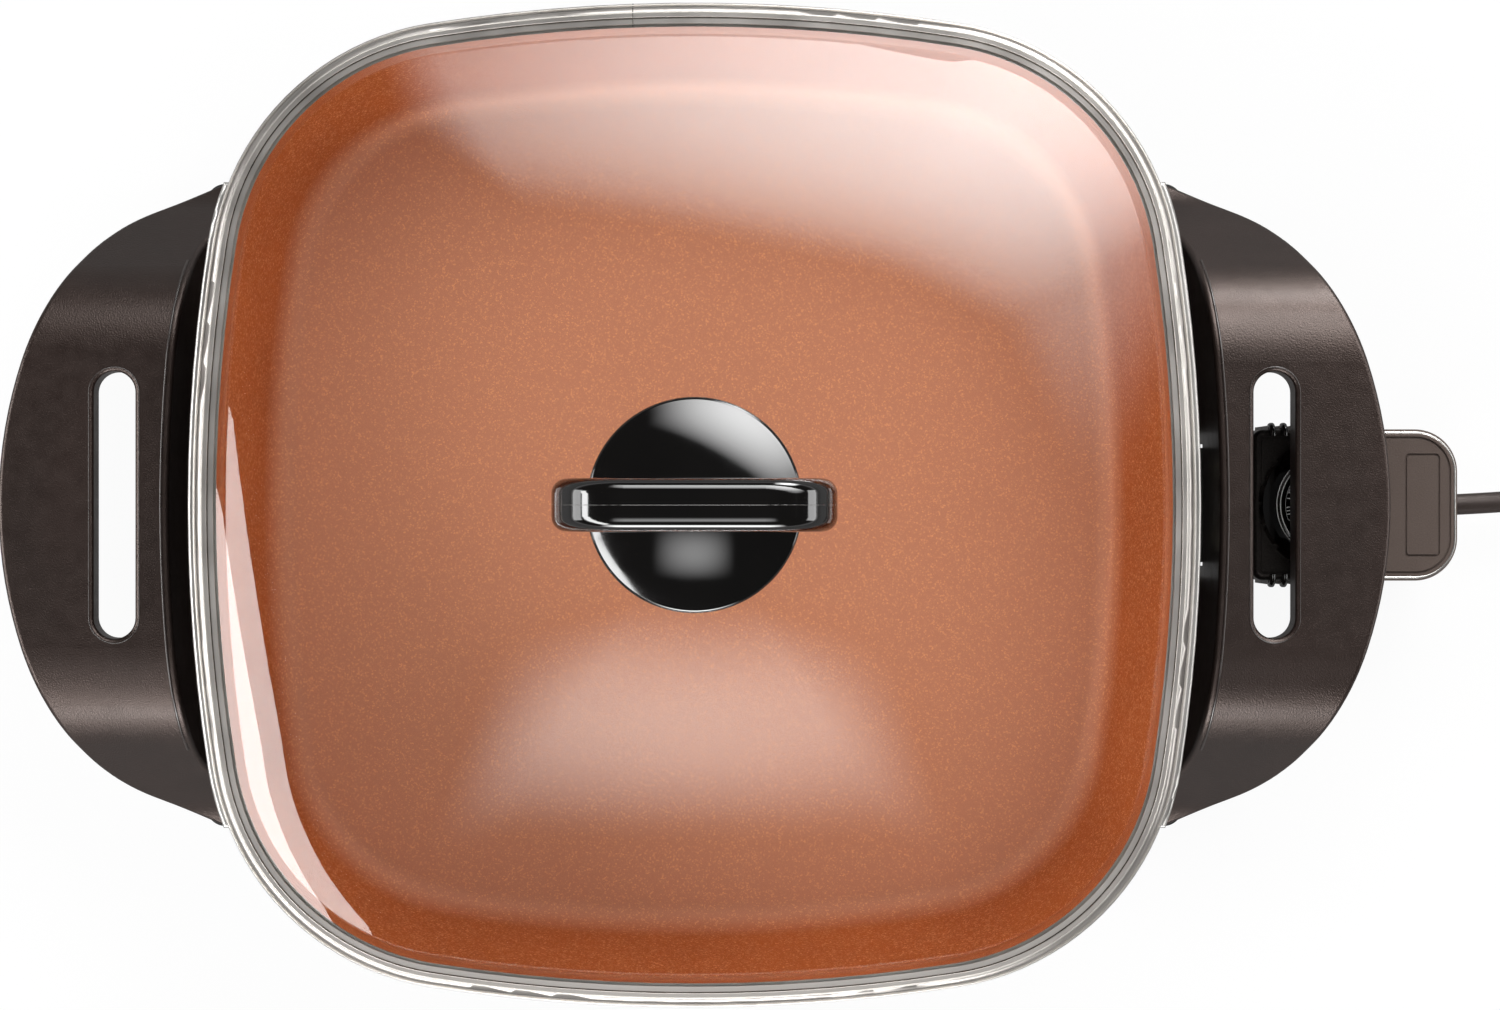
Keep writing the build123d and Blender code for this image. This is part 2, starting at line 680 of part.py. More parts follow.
def make_handle(with_window):
    """Right handle: a thin arched shell with a skirt, inner wall, slot collar, solid feet, shelf and tabs."""
    inner_centre = PAN_HALF - SIDE_BOW_RADIUS
    inner_wall = SIDE_BOW_RADIUS + HANDLE_GAP + HANDLE_WALL
    inside_half = ARCH_HALF - FOOT_LENGTH
    body = handle_block()
    hollow = slab(handle_outline(HANDLE_WALL), PAD_PROUD, HANDLE_TOP)
    body -= hollow & arch_under(HANDLE_WALL, inside_half, PAD_PROUD)
    outside = slab(Pos(HANDLE_REACH, 0) * Rectangle(2 * HANDLE_REACH, 2 * ARCH_HALF), PAD_PROUD, HANDLE_TOP)
    outside -= cylinder_z(inner_wall, inner_centre, 0, PAD_PROUD, HANDLE_TOP)
    body -= outside & arch_under(SKIRT_DEPTH, inside_half, PAD_PROUD)
    low = block((0, HANDLE_REACH), (-inside_half, inside_half), (0, TAB_BASE_Z))
    body -= low
    collar = slab(slot_face(SLOT_COLLAR_WALL), HANDLE_TOP - SLOT_COLLAR_DEPTH, HANDLE_TOP)
    body += collar & arch_under(HANDLE_WALL / 2, ARCH_HALF, PAD_PROUD)
    body -= slab(slot_face(0), 0, HANDLE_TOP + OVERRUN)
    lips = [edge for edge in body.edges() if on_slot_lip(edge)]
    body = fillet(lips, SLOT_ROUND)
    body += block((FOOT_INNER_X, SIDE_X), (-FOOT_START_Y, FOOT_START_Y), (TAB_BASE_Z, TAB_TOP_Z))
    tab_end = BOSS_X - TAB_WIDTH / 2
    for side in (-1, 1):
        tab_y = (side * BOSS_Y - TAB_WIDTH / 2, side * BOSS_Y + TAB_WIDTH / 2)
        body += block((tab_end, SIDE_X), tab_y, (TAB_BASE_Z, TAB_TOP_Z))
        hole = SCREW_RADIUS + TAB_HOLE_GAP
        body -= cylinder_z(hole, BOSS_X, side * BOSS_Y, TAB_BASE_Z, TAB_TOP_Z)
        pocket_top = PAD_THICKNESS
        body -= cylinder_z(PAD_RADIUS + PAD_FIT_GAP, PAD_X, side * PAD_Y, 0, pocket_top)
    if with_window:
        window_x = (FOOT_INNER_X, SIDE_X + HANDLE_WALL + OVERRUN)
        half = NOSE_HALF + WINDOW_GAP
        body -= block(window_x, (-half, half), (0, NOSE_TOP_Z + WINDOW_GAP))
        half = GUARD_HALF + WINDOW_GAP
        body -= block((FOOT_INNER_X, SIDE_X), (-half, half), (0, TAB_TOP_Z))
    return body


def on_slot_lip(edge):
    middle = edge.center()
    near = abs(middle.X - SLOT_X) < SLOT_WIDTH / 2 + SLOT_COLLAR_WALL / 2
    return near and abs(middle.Y) < SLOT_LENGTH / 2 and middle.Z > HANDLE_TOP - SLOT_COLLAR_DEPTH / 2


def make_handle_screws():
    head_base = TAB_BASE_Z - WASHER_THICKNESS - SCREW_HEAD_HEIGHT
    return four_corners(pan_head_screw(head_base, TAB_BASE_Z + SCREW_REACH), BOSS_X, BOSS_Y)


def make_handle_washers():
    washer = cylinder_z(WASHER_RADIUS, 0, 0, TAB_BASE_Z - WASHER_THICKNESS, TAB_BASE_Z)
    washer -= cylinder_z(SCREW_RADIUS + SCREW_HOLE_GAP, 0, 0, 0, TAB_BASE_Z)
    return four_corners(washer, BOSS_X, BOSS_Y)


def make_foot_pads():
    pad = cylinder_z(PAD_RADIUS, 0, 0, 0, PAD_THICKNESS)
    pad = fillet(pad.edges().group_by(Axis.Z)[0], PAD_ROUND)
    return four_corners(pad, PAD_X, PAD_Y)


# Lid


def band(outer_inset, inner_inset, base_z, top_z):
    """Ring between two outlines of the pan's shape."""
    return slab(bowed_square(outer_inset) - bowed_square(inner_inset), base_z, top_z)


def make_lid_rim():
    tongue_inner = LID_TONGUE_GAP + LID_SHEET
    flange_top = RIM_Z + LID_SHEET
    channel = LID_OVERHANG - LID_CHANNEL_STEP
    rim = band(-LID_OVERHANG, tongue_inner, RIM_Z, flange_top)
    rim += band(LID_TONGUE_GAP, tongue_inner, RIM_Z - LID_TONGUE_DROP, flange_top)
    bead = slab(bowed_square(-LID_OVERHANG), RIM_Z, RIM_Z + LID_BEAD_HEIGHT)
    bead = fillet(bead.edges().group_by(Axis.Z)[-1], LID_BEAD_ROUND)
    rim += bead - slab(bowed_square(LID_BEAD_WIDTH - LID_OVERHANG), RIM_Z, RIM_Z + LID_BEAD_HEIGHT)
    ridge_top = RIM_Z + LID_CHANNEL_HEIGHT
    shell = slab(bowed_square(-channel), RIM_Z, ridge_top)
    shell = fillet(shell.edges().group_by(Axis.Z)[-1], LID_CHANNEL_ROUND)
    shell -= slab(bowed_square(LID_RIDGE_WIDTH - channel), ridge_top - LID_LIP_DROP, ridge_top)
    crest = shell.faces().sort_by(Axis.Z)[-1]
    shell = fillet(crest.inner_wires()[0].edges(), LID_RIDGE_ROUND)
    shell -= slab(bowed_square(LID_LIP_REACH), RIM_Z, ridge_top)
    shell -= slab(bowed_square(LID_SHEET - channel), flange_top, LID_TOP_Z + GLASS_EDGE_GAP)
    return rim + shell


def dome(edge_inset, base_z):
    """Solid dome whose cross sections are smaller copies of the lid's outline."""
    sections = []
    for share in DOME_SECTION_SHARES:
        height = DOME_RISE * (1 - share**DOME_POWER)
        sections.append(Pos(0, 0, base_z + height) * scale(bowed_square(edge_inset), by=share))
    return loft(sections)


def dome_top_z():
    return LID_TOP_Z + DOME_RISE * (1 - DOME_SECTION_SHARES[-1] ** DOME_POWER)


def make_lid_glass():
    edge = LID_SHEET + GLASS_EDGE_GAP + LID_CHANNEL_STEP - LID_OVERHANG
    seat_z = LID_TOP_Z - GLASS_THICKNESS
    glass = slab(bowed_square(edge), seat_z, LID_TOP_Z)
    glass += dome(edge + GLASS_BORDER, LID_TOP_Z)
    glass -= dome(edge + GLASS_BORDER + GLASS_SEAT, seat_z)
    return glass - cylinder_z(SCREW_RADIUS + GLASS_HOLE_GAP, 0, 0, RIM_Z, dome_top_z())


def knob_base_z():
    return dome_top_z() + GASKET_THICKNESS


def bridge(points, rounds):
    """Bar-wide block between the points and their mirror images, with a round at each height listed."""
    face = make_face(Polyline(*points, *[(-x, z) for x, z in reversed(points)], close=True))
    for height, radius in rounds:
        face = fillet([v for v in face.vertices() if abs(v.Y - height) < SMALL_SHARE], radius)
    return extrude(Plane.XZ * face, BAR_WIDTH / 2, both=True)


def knob_bar():
    """Bridge of the lid handle: legs that lean outwards and carry a bar, with a rounded skin."""
    half = BAR_LENGTH / 2
    low = KNOB_EDGE - BAR_SINK
    inner_top = BAR_TOP - BAR_THICKNESS
    inner_half = half - BAR_LEG
    outside = [(BAR_FOOT_HALF, low), (half, BAR_ELBOW), (half, BAR_TOP)]
    inside = [(BAR_FOOT_HALF - BAR_LEG, low), (inner_half, BAR_ELBOW), (inner_half, inner_top)]
    bar = bridge(outside, [(BAR_TOP, BAR_SHOULDER_RADIUS), (BAR_ELBOW, BAR_ELBOW_RADIUS)])
    long_edges = [edge for edge in bar.edges() if abs(abs(edge.center().Y) - BAR_WIDTH / 2) < SMALL_SHARE]
    bar = fillet([edge for edge in long_edges if edge.center().Z > low + SMALL_SHARE], BAR_EDGE_ROUND)
    return bar - bridge(inside, [(inner_top, BAR_INNER_RADIUS), (BAR_ELBOW, BAR_ELBOW_RADIUS)])


def knob_disc():
    """Round base of the lid handle, with a shallow crown and a rounded edge."""
    crown_radius = (KNOB_RADIUS**2 + KNOB_CROWN**2) / (2 * KNOB_CROWN)
    top = KNOB_EDGE + KNOB_CROWN
    half_angle = math.asin(KNOB_RADIUS / crown_radius) / 2
    crown_z = top - crown_radius
    middle = (crown_radius * math.sin(half_angle), crown_z + crown_radius * math.cos(half_angle))
    rim = (KNOB_RADIUS, KNOB_EDGE)
    face = make_face(
        [
            Line((0, 0), (KNOB_RADIUS, 0)),
            Line((KNOB_RADIUS, 0), rim),
            ThreePointArc(rim, middle, (0, top)),
            Line((0, top), (0, 0)),
        ]
    )
    face = fillet(face.vertices().sort_by_distance((KNOB_RADIUS, KNOB_EDGE, 0))[0], KNOB_ROUND)
    return revolve(Plane.XZ * face, Axis.Z)


def make_lid_handle():
    hole_depth = LID_SCREW_GRIP + LID_SCREW_END_GAP
    handle = knob_disc() + knob_bar() - cylinder_z(SCREW_RADIUS + SCREW_HOLE_GAP, 0, 0, 0, hole_depth)
    return Pos(0, 0, knob_base_z()) * handle


def gasket(radius, base_z, thickness):
    ring = cylinder_z(radius, 0, 0, base_z, base_z + thickness)
    return ring - cylinder_z(SCREW_RADIUS + SCREW_HOLE_GAP, 0, 0, base_z, base_z + thickness)


def glass_underside_z():
    return dome_top_z() - GLASS_THICKNESS


def make_lid_outer_gasket():
    return gasket(GASKET_RADIUS, dome_top_z(), GASKET_THICKNESS)


def make_lid_inner_gasket():
    return gasket(INNER_GASKET_RADIUS, glass_underside_z() - GASKET_THICKNESS, GASKET_THICKNESS)


def lid_washer_base_z():
    return glass_underside_z() - GASKET_THICKNESS - LID_WASHER_THICKNESS


def make_lid_screw_washer():
    return gasket(LID_WASHER_RADIUS, lid_washer_base_z(), LID_WASHER_THICKNESS)


def make_lid_handle_screw():
    return pan_head_screw(lid_washer_base_z() - SCREW_HEAD_HEIGHT, knob_base_z() + LID_SCREW_GRIP)


# Plug-in control


def probe_outline(inset):
    """Plan of the control's casing, with large corners at the cord's end."""
    length = PROBE_BACK - PROBE_FRONT - 2 * inset
    face = Pos((PROBE_FRONT + PROBE_BACK) / 2, 0) * Rectangle(length, PROBE_WIDTH - 2 * inset)
    face = fillet(face.vertices().group_by(Axis.X)[-1], PROBE_BACK_CORNER - inset)
    return fillet(face.vertices().group_by(Axis.X)[0], PROBE_FRONT_CORNER - inset)


def post_places():
    front = [(POST_FRONT_X, side * POST_FRONT_Y) for side in (-1, 1)]
    back = [(POST_BACK_X, side * POST_BACK_Y) for side in (-1, 1)]
    return front + back


def probe_grips(base_z, top_z):
    """Upright ribs on both sides of the casing."""
    side = PROBE_WIDTH / 2
    ribs = []
    for index in range(GRIP_COUNT):
        x = GRIP_START_X + index * GRIP_PITCH
        rib = block((x, x + GRIP_WIDTH), (side - PROBE_WALL / 2, side + GRIP_PROUD), (base_z, top_z))
        ribs += mirrored_y(rib)
    return ribs


def probe_openings():
    """Openings in the casing's ends: for the nose at the front and the cord's bushing at the back."""
    half = NOSE_HALF + NOSE_FIT_GAP
    front = block(
        (PROBE_FRONT - OVERRUN, PROBE_FRONT + PROBE_WALL),
        (-half, half),
        (NOSE_BASE_Z - NOSE_FIT_GAP, NOSE_TOP_Z + NOSE_FIT_GAP),
    )
    back = cylinder_x(
        BUSHING_RADIUS + BUSHING_FIT_GAP, PROBE_BACK - PROBE_WALL, PROBE_BACK + OVERRUN, 0, CORD_EXIT_Z
    )
    return [front, back]


def label_face(inset):
    """Plan of the framed field on the control's cord end."""
    field = RectangleRounded(LABEL_WIDTH - 2 * inset, LABEL_LENGTH - 2 * inset, LABEL_CORNER - inset)
    return Pos(LABEL_X, 0) * field


def make_probe_top_cover():
    inner_top = PROBE_TOP_Z - PROBE_WALL
    cover = slab(probe_outline(0), PROBE_SPLIT_Z, PROBE_TOP_Z)
    cover = fillet(cover.edges().group_by(Axis.Z)[-1], PROBE_EDGE_ROUND)
    cover -= slab(probe_outline(PROBE_WALL), PROBE_SPLIT_Z, inner_top)
    for x, y in post_places():
        cover += cylinder_z(POST_RADIUS, x, y, PROBE_SPLIT_Z, PROBE_TOP_Z - PROBE_WALL / 2)
        hole_top = PROBE_SPLIT_Z + COVER_SCREW_GRIP + COVER_SCREW_GAP
        cover -= cylinder_z(COVER_SCREW_RADIUS + COVER_SCREW_GAP, x, y, PROBE_SPLIT_Z, hole_top)
    for rib in probe_grips(PROBE_SPLIT_Z, PROBE_TOP_Z - GRIP_EDGE):
        cover += rib
    for opening in probe_openings():
        cover -= opening
    line_z = PROBE_TOP_Z - PROBE_LINE_DEPTH
    edge_line = probe_outline(PROBE_LINE_INSET) - probe_outline(PROBE_LINE_INSET + PROBE_LINE)
    cover -= slab(edge_line, line_z, PROBE_TOP_Z)
    cover -= slab(label_face(0) - label_face(PROBE_LINE), line_z, PROBE_TOP_Z)
    return cover - cylinder_z(BUSH_RADIUS + SEAT_GAP, DIAL_X, 0, inner_top - OVERRUN, PROBE_TOP_Z)


def make_probe_bottom_cover():
    split = PROBE_SPLIT_Z - PROBE_SEAM
    cover = slab(probe_outline(0), PROBE_BASE_Z, PROBE_SPLIT_Z)
    cover = fillet(cover.edges().group_by(Axis.Z)[0], PROBE_EDGE_ROUND)
    cover -= slab(probe_outline(PROBE_WALL), PROBE_BASE_Z + PROBE_WALL, PROBE_SPLIT_Z)
    groove = slab(probe_outline(-OVERRUN) - probe_outline(PROBE_SEAM), split, PROBE_SPLIT_Z)
    for x, y in post_places():
        cover += cylinder_z(POST_RADIUS, x, y, PROBE_BASE_Z + PROBE_WALL / 2, PROBE_SPLIT_Z)
        cover -= cylinder_z(COVER_SCREW_RADIUS + COVER_SCREW_GAP, x, y, PROBE_BASE_Z, PROBE_SPLIT_Z)
        sink_top = PROBE_BASE_Z + COVER_SCREW_SINK
        cover -= cylinder_z(COVER_SCREW_HEAD_RADIUS + COVER_SCREW_GAP, x, y, PROBE_BASE_Z, sink_top)
    for rib in probe_grips(PROBE_BASE_Z + GRIP_EDGE, split):
        cover += rib
    for opening in probe_openings():
        cover -= opening
    return cover - groove


def make_probe_cover_screws():
    screws = []
    for x, y in post_places():
        head_top = PROBE_BASE_Z + COVER_SCREW_SINK
        screw = cylinder_z(COVER_SCREW_HEAD_RADIUS, x, y, head_top - COVER_SCREW_HEAD, head_top)
        grip_top = PROBE_SPLIT_Z + COVER_SCREW_GRIP
        screws.append(screw + cylinder_z(COVER_SCREW_RADIUS, x, y, head_top, grip_top))
    return screws


def make_probe_nose():
    flange_front = PROBE_FRONT + PROBE_WALL
    flange_back = flange_front + NOSE_FLANGE_THICKNESS
    nose = block((NOSE_FRONT, flange_front), (-NOSE_HALF, NOSE_HALF), (NOSE_BASE_Z, NOSE_TOP_Z))
    nose = fillet(nose.edges().group_by(Axis.X)[0], NOSE_ROUND)
    half = NOSE_HALF + NOSE_FLANGE
    nose += block(
        (flange_front, flange_back), (-half, half), (NOSE_BASE_Z - NOSE_FLANGE, NOSE_TOP_Z + NOSE_FLANGE)
    )
    nose -= cylinder_x(ROD_RADIUS + ROD_FIT_GAP, NOSE_FRONT, flange_back, 0, TERMINAL_Z)
    for side in (-1, 1):
        bore = CONTACT_RADIUS + CONTACT_FIT_GAP
        pin = PIN_RADIUS + 2 * CONTACT_BORE_GAP
        nose -= cylinder_x(bore, CONTACT_FRONT, flange_back, side * TERMINAL_Y, TERMINAL_Z)
        nose -= cylinder_x(pin, NOSE_FRONT, CONTACT_FRONT, side * TERMINAL_Y, TERMINAL_Z)
    return nose


def frame_front_x():
    return PROBE_FRONT + PROBE_WALL + NOSE_FLANGE_THICKNESS


def make_probe_rod():
    rod = cylinder_x(ROD_RADIUS, WELL_END_X + ROD_TIP_GAP, frame_front_x() + FRAME_SHEET, 0, TERMINAL_Z)
    return fillet(rod.edges().group_by(Axis.X)[0], ROD_RADIUS / 2)


def make_socket_contacts():
    sleeve = cylinder_x(CONTACT_RADIUS, CONTACT_FRONT, CONTACT_BACK, TERMINAL_Y, TERMINAL_Z)
    bore = PIN_RADIUS + CONTACT_BORE_GAP
    bore_end = PIN_END_X + ROD_TIP_GAP
    return mirrored_y(sleeve - cylinder_x(bore, CONTACT_FRONT, bore_end, TERMINAL_Y, TERMINAL_Z))


def make_thermostat_frame():
    front = frame_front_x()
    plate = block((front, front + FRAME_SHEET), (-FRAME_HALF, FRAME_HALF), (FRAME_BASE_Z, FRAME_TOP_Z))
    plate -= cylinder_x(ROD_RADIUS + ROD_FIT_GAP / 2, front, front + FRAME_SHEET, 0, TERMINAL_Z)
    top = block(
        (front, FRAME_BACK_X), (-FRAME_TOP_HALF, FRAME_TOP_HALF), (FRAME_TOP_Z - FRAME_SHEET, FRAME_TOP_Z)
    )
    return plate + top - cylinder_z(SPINDLE_RADIUS + SEAT_GAP, DIAL_X, 0, 0, FRAME_TOP_Z)


def make_spindle_bush():
    bush = cylinder_z(BUSH_RADIUS, DIAL_X, 0, FRAME_TOP_Z, PROBE_TOP_Z)
    return bush - cylinder_z(SPINDLE_RADIUS + BUSH_FIT_GAP, DIAL_X, 0, FRAME_TOP_Z, PROBE_TOP_Z)


def blade(base_z):
    tail = FRAME_BACK_X + BLADE_TAIL
    return block((BLADE_FRONT_X, tail), (-BLADE_HALF, BLADE_HALF), (base_z, base_z + BLADE_THICKNESS))


def make_contact_block():
    solid = block(
        (FRAME_BACK_X - BLOCK_LENGTH, FRAME_BACK_X),
        (-BLOCK_HALF, BLOCK_HALF),
        (BLOCK_BASE_Z, FRAME_TOP_Z - FRAME_SHEET),
    )
    return solid - blade(FIXED_BLADE_Z) - blade(MOVING_BLADE_Z)


def make_fixed_contact_blade():
    x = BLADE_FRONT_X + BUTTON_INSET
    top = FIXED_BLADE_Z + BLADE_THICKNESS
    return blade(FIXED_BLADE_Z) + cylinder_z(BUTTON_RADIUS, x, 0, top, top + BUTTON_HEIGHT)


def make_moving_contact_blade():
    x = BLADE_FRONT_X + BUTTON_INSET
    return blade(MOVING_BLADE_Z) + cylinder_z(
        BUTTON_RADIUS, x, 0, MOVING_BLADE_Z - BUTTON_HEIGHT, MOVING_BLADE_Z
    )


def cord_inner_x():
    return PROBE_BACK - CORD_INNER_LENGTH


def make_lead_wires():
    start = cord_inner_x()
    tab = FRAME_BACK_X + BLADE_TAIL / 2
    fixed_z = FIXED_BLADE_Z + BLADE_THICKNESS + WIRE_RADIUS
    moving_z = MOVING_BLADE_Z + BLADE_THICKNESS + WIRE_RADIUS
    aisle = WIRE_AISLE_Y
    turn_x = CONTACT_BACK + 2 * WIRE_BEND
    corner_x = start - WIRE_BEND - WIRE_RADIUS / 2
    neutral = FilletPolyline(
        (start, WIRE_SPLIT, TERMINAL_Z),
        (corner_x, WIRE_SPLIT, TERMINAL_Z),
        (corner_x, aisle, TERMINAL_Z),
        (turn_x + 2 * WIRE_BEND, aisle, TERMINAL_Z),
        (turn_x, TERMINAL_Y, TERMINAL_Z),
        (CONTACT_BACK, TERMINAL_Y, TERMINAL_Z),
        radius=WIRE_BEND,
    )
    live = Line((start, -WIRE_SPLIT, fixed_z), (tab, -WIRE_SPLIT, fixed_z))
    switched = FilletPolyline(
        (tab, -WIRE_SPLIT, moving_z),
        (tab, -aisle, moving_z),
        (turn_x + 2 * WIRE_BEND, -aisle, moving_z),
        (turn_x, -TERMINAL_Y, TERMINAL_Z),
        (CONTACT_BACK, -TERMINAL_Y, TERMINAL_Z),
        radius=WIRE_BEND,
    )
    return [tube(path, WIRE_RADIUS) for path in (neutral, live, switched)]


# Dial


def make_dial():
    base = PROBE_TOP_Z + DIAL_LIFT
    top = base + DIAL_HEIGHT
    skirt = cylinder_z(DIAL_SKIRT_RADIUS, 0, 0, base, base + DIAL_SKIRT)
    skirt = chamfer(skirt.edges().group_by(Axis.Z)[-1], DIAL_SKIRT / 3)
    for index in range(DIAL_NOTCH_COUNT):
        notch = cylinder_z(DIAL_NOTCH_RADIUS, DIAL_SKIRT_RADIUS, 0, base, top)
        skirt -= Rot(0, 0, FULL_TURN / DIAL_NOTCH_COUNT * index) * notch
    cap = cylinder_z(DIAL_RADIUS, 0, 0, base, top)
    cap = fillet(cap.edges().group_by(Axis.Z)[-1], DIAL_ROUND)
    cap -= cylinder_z(DIAL_DISH_RADIUS, 0, 0, top - DIAL_DISH, top)
    bore = cylinder_z(SPINDLE_RADIUS + SPINDLE_FIT_GAP, 0, 0, base, base + DIAL_BORE_DEPTH)
    return Pos(DIAL_X, 0) * (skirt + cap - bore)


def make_dial_spindle():
    tip = MOVING_BLADE_Z + BLADE_THICKNESS + SEAT_GAP
    return cylinder_z(SPINDLE_RADIUS, DIAL_X, 0, tip, PROBE_TOP_Z + DIAL_LIFT + DIAL_BORE_DEPTH)


# Cord


def make_cord_inner_end():
    return cylinder_x(CORD_RADIUS, cord_inner_x(), PROBE_BACK, 0, CORD_EXIT_Z)


def make_cord_bushing():
    inner = PROBE_BACK - PROBE_WALL
    ring = cylinder_x(BUSHING_RADIUS, inner, PROBE_BACK, 0, CORD_EXIT_Z)
    flange = BUSHING_RADIUS + BUSHING_FLANGE
    ring += cylinder_x(flange, inner - BUSHING_FLANGE_THICKNESS, inner, 0, CORD_EXIT_Z)
    return ring - cylinder_x(
        CORD_RADIUS + CORD_FIT_GAP, inner - BUSHING_FLANGE_THICKNESS, PROBE_BACK, 0, CORD_EXIT_Z
    )


def make_cord_clamp():
    base = PROBE_BASE_Z + PROBE_WALL
    clamp = block(
        (CLAMP_X, CLAMP_X + CLAMP_LENGTH), (-CLAMP_HALF, CLAMP_HALF), (base, CORD_EXIT_Z + CLAMP_TOP)
    )
    return clamp - cylinder_x(CORD_RADIUS + CORD_FIT_GAP, CLAMP_X, CLAMP_X + CLAMP_LENGTH, 0, CORD_EXIT_Z)


def route_radii(points):
    """Bend radius at each inner point: as large as the two runs beside it allow."""
    vectors = [Vector(*point) for point in points]
    radii = []
    for before, here, after in zip(vectors, vectors[1:], vectors[2:]):
        run = min((here - before).length, (after - here).length)
        half_turn = math.radians((here - before).get_angle(after - here) / 2)
        radii.append(ROUTE_BEND_SHARE * run / math.tan(half_turn))
    return radii


def route_tube(name, points):
    """Round cord along straight runs joined by arcs, with its bends and volume printed."""
    radii = route_radii(points)
    path = FilletPolyline(*points, radius=radii)
    cord = tube(path, CORD_RADIUS)
    expected = math.pi * CORD_RADIUS**2 * path.length
    bends = ", ".join(f"{radius:.0f}" for radius in radii)
    print(f"{name}: length {path.length:.1f}, bends {bends}, volume share {cord.volume / expected:.4f}")
    return cord


def cord_points():
    return [(PROBE_BACK + x, y, z) for x, y, z in CORD_ROUTE]


def coil_centre():
    x, y, z = cord_points()[-1]
    return (x, y - COIL_MAX_RADIUS, z)


def coil_point(turns):
    """Point of the coil's middle line: in along the lower layer, up, and out along the upper layer."""
    climb_start = COIL_LAYER_TURNS
    climb_end = COIL_LAYER_TURNS + COIL_CLIMB_TURNS
    spare = max(climb_start - turns, turns - climb_end, 0)
    radius = COIL_MIN_RADIUS + COIL_PITCH * spare
    climbed = min(max((turns - climb_start) / COIL_CLIMB_TURNS, 0), 1)
    height = COIL_LAYER_STEP * climbed**2 * (3 - 2 * climbed)
    angle = math.radians(RIGHT_ANGLE - FULL_TURN * turns)
    x, y, z = coil_centre()
    return Vector(x + radius * math.cos(angle), y + radius * math.sin(angle), z + height)


def coil_tangent(turns):
    """Direction of the coil's middle line, level and square to the radius at both ends."""
    if turns <= 0:
        return Vector(1, 0, 0)
    if turns >= COIL_TURNS:
        return Vector(0, -1, 0)
    return (coil_point(turns + COIL_PROBE_SHARE) - coil_point(turns - COIL_PROBE_SHARE)).normalized()


def biarc(start, start_way, end, end_way):
    """Two arcs that leave one point and reach another in given directions."""
    chord = end - start
    ways = start_way + end_way
    bend = 2 * (1 - start_way.dot(end_way))
    along = chord.dot(ways)
    reach = (math.sqrt(along**2 + bend * chord.dot(chord)) - along) / bend
    first = start + start_way * reach
    last = end - end_way * reach
    middle = (first + last) / 2
    return [
        TangentArc(start, middle, tangent=start_way),
        TangentArc(middle, end, tangent=last - first),
    ]


def coil_gap():
    """Least gap between one turn of the coil and another."""
    count = int(COIL_TURNS * COIL_GAP_SAMPLES)
    points = [coil_point(COIL_TURNS * index / count) for index in range(count + 1)]
    skip = COIL_GAP_SAMPLES // 2
    pairs = ((i, j) for i in range(count + 1) for j in range(i + skip, count + 1))
    return min((points[i] - points[j]).length for i, j in pairs) - CORD_DIAMETER


def make_cord_coil():
    count = round(COIL_TURNS * COIL_STEPS_PER_TURN)
    turns = [COIL_TURNS * index / count for index in range(count + 1)]
    edges = []
    for here, there in zip(turns, turns[1:]):
        edges += biarc(coil_point(here), coil_tangent(here), coil_point(there), coil_tangent(there))
    path = Wire(edges)
    coil = tube(path, CORD_RADIUS)
    expected = math.pi * CORD_RADIUS**2 * path.length
    print(f"cord_coil: length {path.length:.1f}, least gap {coil_gap():.2f}")
    print(f"cord_coil: volume share {coil.volume / expected:.4f}")
    return coil


def make_cord_tie():
    """Flat band round the bundle on the coil's near side."""
    x, y, z = coil_centre()
    passes = [coil_point(turn + COIL_CLIMB_TURNS) for turn in range(math.ceil(COIL_TURNS - COIL_CLIMB_TURNS))]
    reach = CORD_RADIUS + TIE_GAP
    low_y = min(point.Y for point in passes) - reach
    high_y = max(point.Y for point in passes) + reach
    low_z = min(point.Z for point in passes) - reach
    high_z = max(point.Z for point in passes) + reach
    inner = RectangleRounded(high_y - low_y, high_z - low_z, TIE_CORNER)
    grown = 2 * TIE_THICKNESS
    outer = RectangleRounded(high_y - low_y + grown, high_z - low_z + grown, TIE_CORNER + TIE_THICKNESS)
    place = Plane((x, (low_y + high_y) / 2, (low_z + high_z) / 2), x_dir=(0, 1, 0), z_dir=(1, 0, 0))
    return extrude(place * (outer - inner), TIE_WIDTH / 2, both=True)


def tail_points():
    end = coil_point(COIL_TURNS)
    steps = [(0, 0, 0)] + list(TAIL_STEPS)
    return [(end.X + x, end.Y + y, end.Z + z) for x, y, z in steps]


def plug_plane():
    """Plane across the tail's end, facing along the plug."""
    x, y, z = tail_points()[-1]
    return Plane((x, y, z), x_dir=(1, 0, 0), z_dir=(0, -1, 0))


def make_plug_body():
    place = plug_plane()
    height = 2 * tail_points()[-1][2]
    neck = loft(
        [
            place * Circle(PLUG_NECK_END_RADIUS),
            place * Pos(0, 0, PLUG_NECK_LENGTH) * Circle(PLUG_NECK_RADIUS),
        ],
        ruled=True,
    )
    body = extrude(
        place * Pos(0, 0, PLUG_NECK_LENGTH) * RectangleRounded(PLUG_WIDTH, height, height / 4), PLUG_LENGTH
    )
    ends = body.edges().group_by(Axis.Y)
    return fillet(ends[0] + ends[-1], PLUG_ROUND) + neck


